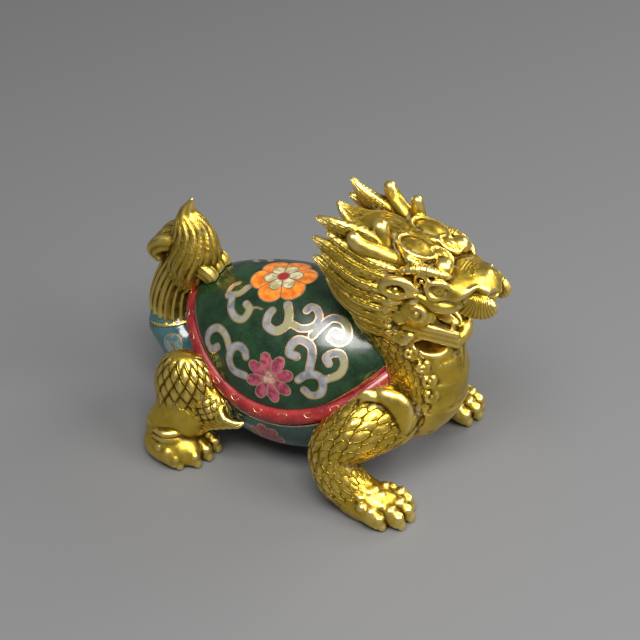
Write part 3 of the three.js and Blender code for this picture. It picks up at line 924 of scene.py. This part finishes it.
def paw(clay, heel, toes, side):
    """A padded paw: a palm, four stout toes with round knuckles and blunt nails, bosses between them."""
    clay.lump((heel[0] + 4, heel[1], 3.4), (8, 5.8, 5), turn=side * heel[2], blend=1.6)
    for number, (x, y) in enumerate(toes):
        root = (x - 6, heel[1] + (y - heel[1]) * 0.6, 3.3)
        bones = [root, (x - 1.6, y, 3.5), (x + 0.6, y, 2.2)]
        clay.sweep(bones, [(2.1, 2.5), (2.0, 2.5), (1.7, 1.9)], blend=0.4)
        clay.lump((x - 3.6, y, 5.5), (1.45, 1.55, 1.35), blend=0.15)
        clay.lump((x - 1.2, y, 4.9), (1.45, 1.75, 1.45), blend=0.15)
        clay.lump((x + 0.9, y, 3.5), (1.35, 1.6, 1.35), blend=0.15)
        clay.lump((x + 1.8, y, 1.5), (1.0, 1.25, 1.5), blend=0.1)
        if number < 3:
            between = (y + toes[number + 1][1]) / 2
            clay.lump((min(x, toes[number + 1][0]) - 4.6, between, 7.1), (1.3, 1.25, 1.15), blend=0.1)
            clay.lump((x - 7.4, (between + heel[1]) / 2, 7.9), (1.3, 1.3, 1.1), blend=0.2)


fore_clay = Clay((2, -32, 0), (48.5, 30, 74), 0.36, calm=0.045)
lump, sweep = fore_clay.lump, fore_clay.sweep
trunk_spine = [(8, 0, 17.5), (18, 0, 17.6), (25.4, 0, 24), (24, 0, 36.6), (17.8, 0, 47), (16.6, 0, 57)]
trunk_sizes = [(11, 12), (11, 12.4), (11, 12), (11, 10.8), (10.6, 11), (8, 9)]
sweep(trunk_spine, trunk_sizes, (0, 1, 0), trunk_relief, 0.5, per_span=7)
plate_border = [(25.5, 9.6, 41), (29.6, 8.9, 37), (31.9, 8.6, 31), (32.3, 8.8, 24.6), (29.6, 9.4, 18.6)]
border_curls = [(26.6, 10.2, 40.6), (29.6, 9.7, 37), (31.3, 9.4, 33), (32, 9.4, 28.8), (31.8, 9.6, 24.6)]
for side in (-1, 1):
    sweep(mirrored(side, *plate_border), even(0.55, 5), blend=0.4)
    for (x, y, z), size in zip(border_curls, (1.3, 1.35, 1.4, 1.4, 1.3)):
        curl(fore_clay, (x, side * y, z), size, side, heading=42, opening=2.2)
    lump((30, side * 6.4, 41.6), (4.6, 3.6, 1.5), tilt=-18, blend=0.5, take_away=True)

# Skull, snout, nose with its wings, and the pleated moustache at each side of it.
lump((20, 0, 60), (11, 9.4, 7.6), blend=2.0)
lump((12.5, 0, 60), (8, 9.2, 8.8), tilt=20, blend=2.0)
snout_spine = [(24, 0, 60), (31, 0, 58), (36.4, 0, 57.2), (40, 0, 57.4)]
sweep(snout_spine, [(9.2, 6.0), (7.6, 4.8), (6.1, 4.4), (4.7, 3.7)], relief=blocky, blend=1.6)
bridge = [(33.4, 0, 61.7), (35.8, 0, 61.2), (38.4, 0, 61.4)]
sweep(bridge, [(3.4, 1.1), (2.8, 0.9), (2.6, 1.0)], relief=combed(1.2, 0.2), blend=0.6)
lump((39.9, 0, 59.8), (3.1, 3.8, 2.7), blend=0.8)
lump((42.2, 0, 58.8), (1.7, 2.3, 2.1), blend=0.6)
for side in (-1, 1):
    lump((41.2, side * 3.3, 58.7), (2.2, 1.5, 2.0), blend=0.4)
    lump((42.9, side * 3.6, 58.0), (0.8, 0.9, 0.7), blend=0.2, take_away=True)
    lump((34.6, side * 6, 58.2), (4, 2.2, 2.6), turn=side * -14, blend=1.2)
    lump((40.3, side * 4.9, 55.3), (5.2, 2.0, 3.4), turn=side * -10, relief=pleats, blend=0.2)
    lump((36.8, side * 6.8, 56), (1.25, 1.1, 1.25), blend=0.1)
    lip = mirrored(side, (27, 8.8, 56.9), (31.5, 8.4, 55), (35, 7.4, 54.8), (37.2, 6, 56.2))
    sweep(lip, [(1.2, 1.4), (1.7, 1.5), (1.6, 1.4), (0.9, 0.9)], (0, side, 0), blend=0.5)
    fold = mirrored(side, (34, 7.8, 57.2), (36.2, 7.2, 57.6), (38.2, 6, 59), (40, 4.6, 60.4))
    sweep(fold, [(0.5, 0.5), (0.9, 0.8), (0.9, 0.8), (0.5, 0.5)], (0, side, 0), blend=0.5)
    for k in range(5):
        tooth = (30.6 + 1.4 * k, side * (6.7 - 0.4 * k), 53.2 + 0.06 * k * k)
        lump(tooth, (0.6, 0.5, 0.9), blend=0.15)

# Forehead plates, each a lens in a raised rim, and brows, eyes, ears and cheeks.
LAP = np.linspace(0, 2 * math.pi, 13)
brow = [(33.8, 6.2, 62.4), (31.2, 7.7, 63.6), (28, 8.3, 64.0), (24.6, 8.9, 63.2), (22, 9.4, 61.8)]
brow_sizes = [(0.8, 0.8), (1.2, 1.1), (1.35, 1.25), (1.3, 1.2), (0.8, 0.7)]
ear = [(27.8, 10, 58.8), (25, 10.9, 61), (21.6, 11.3, 60.8), (19.6, 11.4, 58.9), (20.8, 11.4, 57.1)]
ear += [(24, 11, 56.9), (27.6, 10.2, 57.8)]
ear_sizes = [(0.5, 0.5), (1.1, 1.0), (1.2, 1.1), (1.1, 1.0), (1.0, 0.9), (0.9, 0.8), (0.4, 0.4)]
for side in (-1, 1):
    for x, y, z, length, width, slope in ((24.6, 3.9, 66.7, 4.7, 3.3, 0.25), (30.3, 2.5, 65, 2.7, 1.9, 0.42)):
        tilt = -math.degrees(math.atan(slope))
        lump((x, side * y, z - 1), (length * 1.1, width * 1.15, 1.7), tilt=tilt, blend=0.2)
        lump((x, side * y, z - 0.3), (length * 0.8, width * 0.78, 1.25), tilt=tilt, blend=0.02)
        rim = []
        for a in LAP:
            ahead = length * math.cos(a)
            rim.append((x + ahead, y + width * math.sin(a), z - slope * ahead))
        sweep(mirrored(side, *rim), even(0.5, len(LAP)), blend=0.12, per_span=3)
    lump((31.8, side * 4.9, 63.6), (2.4, 2.5, 2.3), blend=0.2)
    sweep(mirrored(side, *brow), brow_sizes, relief=combed(1.3, 0.22), blend=0.2)
    curl(fore_clay, (28.2, side * 9.0, 61.2), 1.6, side, opening=-0.6)
    lump((32.4, side * 8.4, 59.5), (2.3, 1.3, 2.0), blend=0.3, take_away=True)
    lump((32, side * 7.5, 59.5), (1.85, 1.85, 1.85), blend=0.05)
    lump((32.7, side * 9.15, 59.6), (0.5, 0.5, 0.5), blend=0.2, take_away=True)
    for bend in (61.5, 57.6):
        lid = mirrored(side, (29.4, 8.9, 59.5), (30.8, 9.1, bend), (33.3, 8.2, bend), (34.9, 6.9, 59.5))
        sweep(lid, [(0.6, 0.6), (0.75, 0.7), (0.75, 0.7), (0.5, 0.5)], blend=0.6)
    tuft = mirrored(side, (22, 4.4, 66.6), (24.4, 7.4, 65.4), (27.8, 7.8, 64.6))
    sweep(tuft, [(1.0, 0.9), (1.3, 1.1), (0.8, 0.7)], relief=combed(1.2, 0.3), blend=0.2)
    lump((23, side * 10.4, 58.8), (4, 1.9, 2.9), blend=0.6)
    lump((23, side * 12.3, 59), (2.5, 1.9, 1.35), blend=0.15, take_away=True)
    sweep(mirrored(side, *ear), ear_sizes, (0, side, 0), blend=0.2)
    lump((22.6, side * 10.9, 58.3), (0.95, 0.9, 0.95), blend=0.1)
    lump((26.2, side * 9, 52.3), (5.2, 2.4, 4.4), blend=0.3)
    curl(fore_clay, (28, side * 10.9, 53), 1.9, side, heading=8, opening=-2.6, thick=0.3)
    lump((23.4, side * 10.2, 50.6), (2.0, 1.4, 2.6), tilt=12, blend=0.15)
    for k in range(4):
        lick = mirrored(side, (23.6 - 0.9 * k, 10.7, 55.2 - 1.9 * k), (21.4 - 0.7 * k, 11.5, 54.8 - 1.9 * k))
        sweep(lick, [(0.9, 0.8), (1.15, 0.9)], (0, side, 0), strands(2, 0.25), 0.15)
        lump((20.6 - 0.7 * k, side * 11.5, 54.6 - 1.9 * k), (1.25, 1.0, 1.15), blend=0.1)

# Jaws, tongue, and a beard from the chin to the chest.
sweep([(19, 0, 48.5), (24, 0, 47.2), (28, 0, 46)], [(8.6, 4), (8.4, 3.0), (7, 2.0)], blend=1.0)
sweep([(25, 0, 46.6), (30.5, 0, 44.8), (35.4, 0, 42.2)], [(8.2, 1.9), (6.6, 1.6), (4.0, 1.5)], blend=0.5)
lump((35.3, 0, 42.8), (2.3, 4.6, 2.3), tilt=-20, blend=0.8)
lump((31, 0, 46.8), (4.4, 3.2, 1.4), tilt=-22, blend=0.3)
lump((32.6, 0, 47), (3, 0.35, 1.3), tilt=-22, blend=0.3, take_away=True)
for side in (-1, 1):
    for k, drop in enumerate((1.5, -0.1, -1.7)):
        roll = [(24.4, 9.4 - 0.3 * k, 47.2 + drop), (30.6, 8 - 0.3 * k, 46.4 + drop)]
        roll += [(35.6, 4 - 0.2 * k, 43.2 + drop)]
        sweep(mirrored(side, *roll), [(0.9, 0.95), (1.05, 1.05), (0.85, 0.9)], (0, side, 0), blend=0.1)
    fang = mirrored(side, (33.8, 3.6, 44.8), (34.4, 3.8, 46.8), (34.2, 3.8, 48.2))
    sweep(fang, [(0.8, 0.8), (0.6, 0.6), (0.2, 0.2)], (1, 0, 0), blend=0.2)
    for k in range(4):
        tuft = [(26 - 2.1 * k, 9.4, 45 + 0.4 * k), (24.4 - 2.1 * k, 10.3, 43.2 + 0.5 * k)]
        tuft += [(22.2 - 2 * k, 10.3, 44 + k)]
        sweep(mirrored(side, *tuft), [(1.1, 0.9), (1.0, 0.8), (0.25, 0.25)], (0, side, 0), blend=0.15)
beard = [(34.2, 0, 41.4), (34.8, 0, 37), (35.3, 0, 33), (35.2, 0, 31)]
sweep(beard, [(2.3, 1.8), (1.9, 1.6), (1.4, 1.1), (0.5, 0.4)], (1, 0, 0), strands(3, 0.3), 0.3)

# Antlers, each a smooth beam swept back with one prong, and the broad lock between them.
antlers = {
    -1: ((11.6, 10.6, 69.2), [(18.4, 6, 64.4), (16.8, 5.6, 67.6), (15.8, 5.2, 70)], (1.8, 1.9, 2.15)),
    1: ((11.2, 10.5, 70.6), [(20.4, 7, 64.8), (19.8, 7.7, 68), (19.4, 7.9, 70.6)], (1.8, 1.8, 1.45)),
}
for side, (tip, prong, prong_radii) in antlers.items():
    beam = mirrored(side, (20, 7, 63.6), (16, 8.8, 65.8), (12.8, 10.2, 67.6), tip)
    sweep(beam, [(2.2, 2.2), (2.2, 2.2), (2.0, 2.0), (1.6, 1.6)], blend=0.15)
    sweep(mirrored(side, *prong), [(radius, radius) for radius in prong_radii], (1, 0, 0), blend=0.4)
crown = [(21, 0, 66.6), (15, 0, 67), (8.6, 0, 66.8), (4.8, 0, 68.2), (2.8, 0, 69.9)]
crown_sizes = [(3, 1.2), (5, 1.4), (4, 1.6), (2.2, 1.2), (0.7, 0.5)]
sweep(crown, crown_sizes, relief=strands(6, 0.4, 0.3), blend=0.15)

# The mane: five long locks on each side, shorter ones laid between them, and rows of tufts on the nape.
# The uppermost lock of each side isn't set alike: the left one rises more steeply.
TOP_LOCK = {
    -1: [(19, 6.6, 64.4), (13.6, 7.7, 68), (7, 8.7, 69.7), (1.9, 9, 71)],
    1: [(17.4, 6.6, 62.6), (12, 8.4, 64.8), (6, 9.2, 67), (2.2, 9, 70.9)],
}
LOCKS = [
    ([(21, 10, 60), (13.6, 11.2, 61.2), (7, 10.6, 63.6), (1.4, 10, 65.8)], [1.3, 2.8, 2.6, 0.6], 5),
    ([(20, 11, 54.6), (12.5, 11.9, 56), (7, 11.5, 58.8), (2.2, 11, 61.2)], [1.3, 2.6, 2.3, 0.6], 5),
    ([(21, 10.8, 49.4), (14.5, 11.7, 50.6), (9, 11.3, 53.4), (5, 10.6, 56.4)], [1.3, 2.4, 2.1, 0.5], 4),
    ([(21, 10.4, 45.2), (15.5, 11.1, 46.2), (11.6, 10.6, 48.8)], [1.3, 2.2, 0.6], 4),
    ([(21.4, 9.2, 62.4), (15.6, 10.6, 63.5), (9.6, 10.4, 65.8), (4.8, 9.8, 67.8)], [1.0, 1.9, 1.7, 0.5], 4),
    ([(20.5, 11, 57.3), (14, 12.1, 58.6), (8.4, 11.8, 61), (4.4, 11.2, 62.8)], [1.0, 1.8, 1.6, 0.5], 4),
    ([(20.5, 11.3, 52), (14, 12.3, 53.3), (9, 11.9, 56), (5.6, 11.3, 58)], [1.0, 1.7, 1.5, 0.5], 3),
    ([(21, 10.8, 47.4), (15.4, 11.7, 48.4), (11, 11.2, 50.8), (7.6, 10.7, 53)], [1.0, 1.6, 1.4, 0.4], 3),
]
for side in (-1, 1):
    for spine, widths, count in [(TOP_LOCK[side], [1.1, 2.5, 2.3, 0.5], 5), *LOCKS]:
        sizes = [(width, 0.5 + 0.4 * width) for width in widths]
        relief = strands(count, 0.46, wander=0.14)
        sweep(mirrored(side, *spine), sizes, (0, side, 0), relief, 0.1, per_span=7)
for row, height in enumerate((51.4, 55.2, 58.8, 62.2)):
    for k in range(-3 + row % 2, 4, 2):
        y = 2.5 * k
        nape = 12.5 - 8 * math.sqrt(max(1 - (y / 10) ** 2 - ((height - 60) / 12) ** 2, 0.05))
        tuft = [(nape + 3.6, y, height + 2.6), (nape + 0.5, y * 1.04, height + 0.2)]
        tuft += [(nape - 1.5, y * 1.1, height - 3.4)]
        sweep(tuft, [(2.0, 1.3), (2.8, 1.7), (0.6, 0.5)], (-1, 0, 0.4), strands(4, 0.36, 0.2), 0.1)

# Shoulders and forelegs.
paw_out = {-1: 23.6, 1: 21.4}
shoulder_flame = [(17.4, 15.2, 29.2), (22.4, 16.2, 30.7), (26.2, 15.6, 28.4), (27, 15.8, 23.4)]
shoulder_flame += [(24, 17, 16.8)]
shoulder_sizes = [(0.5, 0.5), (1.9, 1.5), (2.9, 1.7), (2.6, 1.6), (0.6, 0.6)]
for side in (-1, 1):
    out = paw_out[side]
    limb = [(21, 12, 21.6), (17, 18, 19.6), (12.4, 21.8, 14.8), (14.8, out, 8.4), (20, out, 4.6)]
    limb_sizes = [(8.8, 8.4), (7.6, 7.6), (6.3, 6.1), (5.9, 5.7), (5.4, 4.8)]
    sweep(mirrored(side, *limb), limb_sizes, (0, -1, 0), limb_relief, 0.8)
    sweep(mirrored(side, *shoulder_flame), shoulder_sizes, (0.3, side, 0.3), blend=0.2)
    for k in range(2):
        hook = [(20.6 + 1.6 * k, 16.6, 30.6 - 0.7 * k), (18.4 + k, 17.9, 31 - 0.7 * k)]
        hook += [(16.6 + k, 18.4, 29.4 - 0.8 * k)]
        sweep(mirrored(side, *hook), [(1.2, 0.9), (1.0, 0.8), (0.4, 0.4)], (0.3, side, 0.3), blend=0.2)
    for k in range(3):
        wisp = [(26.4 - k, 17, 22.5 - 3.2 * k), (23.4 - k, 19.4, 21 - 3 * k), (20.4 - k, 20.8, 21.4 - 3 * k)]
        sweep(mirrored(side, *wisp), [(1.2, 0.9), (1.1, 0.8), (0.4, 0.3)], (0.3, side, 0.3), blend=0.2)
    toes = [(30, -4.6), (31.4, -1.1), (30.6, 2.5), (26.6, 4.8)]
    paw(fore_clay, (18.4, side * out, 4), [(x, side * (out + y)) for x, y in toes], side)

fore_clay.stamp(shell_points, shell_faces, grow=0.12)
fore_clay.stamp(bowl_points, bowl_faces, grow=0.12)
fore_clay.stand()
forepart = fore_clay.fired("forepart_gilt")


def gilt_material(name, residue):
    """Satin gilding: painted highlight where it stands out, painted olive-brown shade in hollows, pale dried
    polish in them.
    """
    gilt = Nodes(name)
    hollow = gilt.value("hollow")
    across = gilt.value("chased_u")
    strand = gilt.math("ABSOLUTE", gilt.math("SINE", gilt.times(across, math.pi)))
    strand = gilt.math("POWER", strand, 0.6)
    edges = []
    rise = 0.0
    for key in ("chased_u", "chased_v"):
        share = gilt.math("FRACT", gilt.value(key))
        rise = gilt.math("ADD", rise, share)
        off_middle = gilt.math("ABSOLUTE", gilt.math("SUBTRACT", share, 0.5))
        edges.append(gilt.math("SUBTRACT", 0.5, off_middle))
    scale = gilt.ramp(gilt.math("MINIMUM", *edges), 0.01, 0.15)
    is_strand = gilt.ramp(gilt.value("strands"), 0.8, 1.0)
    is_scale = gilt.ramp(gilt.value("scales"), 0.6, 1.0)
    cut_strand = gilt.times(is_strand, gilt.math("SUBTRACT", 1.0, strand))
    cut_scale = gilt.times(is_scale, gilt.math("SUBTRACT", 1.0, scale))
    lean = gilt.times(gilt.times(is_scale, rise), 0.09)
    cut = gilt.math("ADD", gilt.times(cut_strand, 0.13), gilt.times(cut_scale, 0.26))
    cloud = gilt.ramp(gilt.noise(6.0, 4.0), 0.3, 0.7)
    gold = gilt.mix(cloud, (0.55, 0.37, 0.036), (0.76, 0.53, 0.075))
    # Painted highlight: the gold is lightened towards pale yellow where the surface stands out.
    painted_highlight = gilt.ramp(hollow, -0.5, -0.12, 1.0, 0.0)
    gold = gilt.mix(gilt.times(painted_highlight, 0.75), gold, (0.95, 0.75, 0.26))
    # Painted shade: the colour is darkened to olive-brown in hollows and along the chased grooves of strands
    # and scales.
    painted_shade = gilt.ramp(hollow, -0.03, 0.3)
    grooves = gilt.math("ADD", gilt.times(cut_strand, 0.7), gilt.times(cut_scale, 0.95))
    painted_shade = gilt.math("MAXIMUM", painted_shade, gilt.times(grooves, gilt.ramp(hollow, -0.8, -0.2)))
    colour = gilt.mix(gilt.times(painted_shade, 0.92), gold, (0.085, 0.048, 0.004))
    patches = gilt.ramp(gilt.noise(2.6, 4.0, 0.6), 0.5, 0.62)
    dried = gilt.times(gilt.ramp(hollow, 0.03, 0.2), gilt.times(patches, residue))
    colour = gilt.mix(dried, colour, (0.42, 0.33, 0.17))
    grain = gilt.times(gilt.math("ADD", gilt.noise(0.35, 4.0, 0.6), gilt.noise(1.6, 2.0)), 0.03)
    gilt.bump(gilt.math("SUBTRACT", gilt.math("ADD", grain, lean), cut), 1.0)
    gilt.set(Base_Color=colour, Metallic=gilt.ramp(dried, 0.0, 1.0, 1.0, 0.1))
    satin = gilt.ramp(gilt.noise(2.0, 4.0), 0.3, 0.7, 0.27, 0.41)
    satin = gilt.math("ADD", satin, gilt.times(painted_shade, 0.2))
    gilt.set(Roughness=gilt.math("ADD", satin, gilt.times(dried, 0.25)))
    return gilt.material


forepart.data.materials.append(gilt_material("gilt_forepart", 0.5))
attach(forepart, "root")
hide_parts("forepart")


# The hind legs: two gilt castings, mirrored, soldered to the belly behind the flanks. Scales lie down
# each thigh, a fringe of flames runs along its front edge, and folds cross the ankle.


def thigh_relief(a, b, c):
    """Scales in rows down the thigh, gone before the ankle and at the rear."""
    turns_round = np.arctan2(a, np.abs(b) + 0.25) / (2 * np.pi)
    height, u, v = scales(-c * 9.5, turns_round, 4.2, 20, 0.42)
    left = (1 - fade(np.abs(c), 0.82, 0.97)) * fade(a, -0.85, -0.45)
    return height * left, (u, v, 0, left)


def hind_leg(side, name, node):
    clay = Clay((-38, 12 if side > 0 else -33, 0), (-4, 33 if side > 0 else -12, 30), 0.3)
    clay.lump((-28.6, side * 20.2, 17.6), (8.6, 6.4, 11.2), tilt=6, relief=thigh_relief, blend=1.0)
    clay.lump((-22.4, side * 21, 15.6), (7, 4.6, 5.6), tilt=-24, relief=thigh_relief, blend=1.2)
    shank = mirrored(side, (-28, 21.6, 12), (-32, 24, 8), (-30.2, 25.6, 4.2))
    clay.sweep(shank, [(7.2, 6.4), (5.8, 5.6), (5.4, 4.6)], (0, -1, 0), blend=1.6)
    for height in (9.6, 7.9, 6.3):
        fold = [(-31.8 + 5.3 * math.cos(a), 24.6 + 5.3 * math.sin(a), height) for a in (0.1, 0.7, 1.3, 1.9)]
        clay.sweep(mirrored(side, *fold), [(0.3, 0.3), (0.85, 0.85), (0.85, 0.85), (0.3, 0.3)], blend=0.3)
    for k in range(7):
        root = (-28 + 1.5 * k, 22.4, 15.6 + 0.45 * k)
        bend = (-26.6 + 1.65 * k, 24, 12.2 + 0.5 * k)
        tip = (-22.8 + 1.9 * k, 23.4, 10.6 + 0.8 * k)
        flame = [root, bend, (tip[0] - 1.6, 24.1, tip[2] - 0.7), tip]
        flame_sizes = [(0.8, 0.7), (1.3, 1.0), (1.1, 0.9), (0.4, 0.4)]
        clay.sweep(mirrored(side, *flame), flame_sizes, (0, side, 0), strands(2, 0.25), 0.15)
    toes = [(-22.4, 20), (-22.8, 23.8), (-24.2, 27.4), (-27.8, 30)]
    paw(clay, (-34.2, side * 25.6, 6), [(x, side * y) for x, y in toes], side)
    clay.stamp(shell_points, shell_faces, grow=0.12)
    clay.stamp(bowl_points, bowl_faces, grow=0.12)
    clay.stand()
    leg = clay.fired(name)
    leg.data.materials.append(hind_gilt)
    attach(leg, "root")
    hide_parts(node)


hind_gilt = gilt_material("gilt_hind_legs", 0.35)
hind_leg(-1, "hind_leg_right_gilt", "hind_leg_right")
hind_leg(1, "hind_leg_left_gilt", "hind_leg_left")


# The tail: a gilt casting like a flame of hair, standing on the belly's root: a bundle of upright
# strands, a swelling lock that ends in a point, curls behind and a hooked lobe over the shell.

tail_clay = Clay((-49, -9, 19), (-24, 9, 62), 0.27)
brush = [(-42.9, 0, 23), (-42.9, 0, 29), (-41.6, 0, 34.6), (-39, 0, 40)]
tail_clay.sweep(brush, [(6.6, 6.6), (6.2, 5.8), (5.6, 5.2), (5.4, 5)], (0, 1, 0), ridged(10, 0.5), 0.3)


def flame_relief(s, angle, lateral):
    """Wavy strands that follow the lock round as it swells, gone where it narrows to its point."""
    phase = 8 * (angle + 0.42 * np.sin(s * 0.36) + 0.03 * s) / np.pi
    left = 1 - fade(s, 15, 20)
    return 0.55 * left * (np.abs(np.sin(np.pi * phase)) ** 0.7 - 0.55), (phase * 2, s, left, 0)


flame = [(-38.8, 0, 37), (-36.6, 0, 43.6), (-37.2, 0, 50), (-38, 0, 54.8), (-36.8, 0, 59.2)]
flame_sizes = [(5.4, 5.2), (6.5, 6.3), (4.6, 4.4), (2.1, 2.0), (0.5, 0.5)]
tail_clay.sweep(flame, flame_sizes, (0, 1, 0), flame_relief, 0.25, per_span=8)
for turn in range(6):
    angle = turn * math.pi / 3 + 0.3
    ahead, side_way = math.cos(angle), math.sin(angle)
    wisp = [(-37 + 3.9 * ahead, 3.9 * side_way, 49.4), (-37.6 + 2.5 * ahead, 2.5 * side_way, 53)]
    wisp += [(-38 + 1.1 * ahead, 1.1 * side_way, 56), (-37.2 + 0.3 * ahead, 0.3 * side_way, 58.6)]
    tail_clay.sweep(wisp, [(0.9, 0.8), (1.0, 0.9), (0.8, 0.7), (0.3, 0.3)], (side_way, -ahead, 0), blend=0.15)
for row in (-1, 0, 1):
    back = [(-40.6, row * 2.6, 47), (-43.8, row * 3.4, 46.4), (-46.2, row * 3.2, 43.8)]
    back += [(-45.2, row * 3, 41.4)]
    tail_clay.sweep(back, [(2.2, 2.0), (2.3, 2.0), (1.9, 1.7), (1.2, 1.1)], (0, 1, 0), ridged(2, 0.25), 0.15)
    hook = [(-35, row * 3.2, 42.4), (-31.2, row * 3.4, 41), (-29.6, row * 2.8, 37.8), (-31.4, row * 2, 35)]
    tail_clay.sweep(hook, [(2.4, 2.1), (2.2, 2.0), (1.7, 1.6), (0.9, 0.9)], (0, 1, 0), ridged(2, 0.25), 0.15)
collar = [(-42.9 + 6.8 * math.cos(a), 6.6 * math.sin(a), 23.4 + 1.1 * math.cos(a)) for a in LAP]
tail_clay.sweep(collar, even(0.7, len(LAP)), blend=0.3, per_span=3)
tail_clay.stamp(shell_points, shell_faces, grow=0.12)
root_cut = Clay((-49, -9, 19), (-24, 9, 62), 0.27)
root_cut.sweep(ROOT_SPINE, ROOT_SIZES, blend=0.0)
tail_clay.field = np.maximum(tail_clay.field, -(root_cut.field - 0.1))
tail = tail_clay.fired("tail_gilt")
tail.data.materials.append(gilt_material("gilt_tail", 0.3))
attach(tail, "root")
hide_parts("tail")


# The room: a plain pale floor that the paws stand on, and soft studio light from the upper right.


def plain_material(name, colour):
    paint = Nodes(name)
    paint.set(Base_Color=colour, Roughness=0.75)
    return paint.material


reach = 4000.0
floor_corners = [(x * reach, y * reach, -0.02) for x, y in ((-1, -1), (1, -1), (1, 1), (-1, 1))]
floor = make_object("floor", floor_corners, [(0, 1, 2, 3)])
floor.data.materials.append(plain_material("pale_floor", (0.145, 0.147, 0.152)))


def area_light(name, place, size, power, colour=(1, 1, 1)):
    """A rectangular lamp that is aimed at the middle of the figurine. Its place and size are metres."""
    light = bpy.data.lights.new(name, "AREA")
    light.shape = "RECTANGLE"
    light.size, light.size_y = size
    light.energy = power
    light.color = colour
    lamp = bpy.data.objects.new(name, light)
    bpy.context.scene.collection.objects.link(lamp)
    lamp.location = place
    aim = lamp.location.copy()
    aim.z -= 0.03
    lamp.rotation_euler = aim.to_track_quat("Z", "Y").to_euler()


area_light("key", (0.1, -0.25, 0.5), (0.36, 0.24), 3.9, (1.0, 0.98, 0.94))
area_light("side", (0.5, 0.0, 0.42), (0.36, 0.3), 3.0, (1.0, 0.98, 0.95))
area_light("rear", (0.3, 0.5, 0.4), (0.3, 0.2), 1.6)
world = bpy.data.worlds.new("studio")
world.use_nodes = True
world.node_tree.nodes["Background"].inputs[0].default_value = (0.62, 0.63, 0.65, 1)
world.node_tree.nodes["Background"].inputs[1].default_value = 0.36
bpy.context.scene.world = world
bpy.context.scene.view_settings.view_transform = "Standard"


# The camera: where the photograph was taken from, to the animal's right and front, looking down.

VIEW_TURN = math.radians(26)
VIEW_RISE = math.radians(37)
VIEW_DISTANCE = 550.0
PIXELS_PER_MM = 3.94  # in the picture, at the figure's start
aside = np.array([math.cos(VIEW_TURN), math.sin(VIEW_TURN), 0])
level = math.cos(VIEW_RISE)
away = np.array([math.sin(VIEW_TURN) * level, -math.cos(VIEW_TURN) * level, math.sin(VIEW_RISE)])
above = np.cross(away, aside)
stand = away * VIEW_DISTANCE - aside * 1.853 + above * 27.665 + figure_start
camera_data = bpy.data.cameras.new("camera")
camera_data.sensor_width = 36
camera_data.lens = camera_data.sensor_width * PIXELS_PER_MM * VIEW_DISTANCE / 640
camera_data.clip_end = 20
camera = bpy.data.objects.new("camera", camera_data)
bpy.context.scene.collection.objects.link(camera)
placing = np.eye(4)
placing[:3, :3] = np.stack([aside, above, away], axis=1)
placing[:3, 3] = stand * METRE
camera.matrix_world = mathutils.Matrix(placing.tolist())
bpy.context.scene.camera = camera
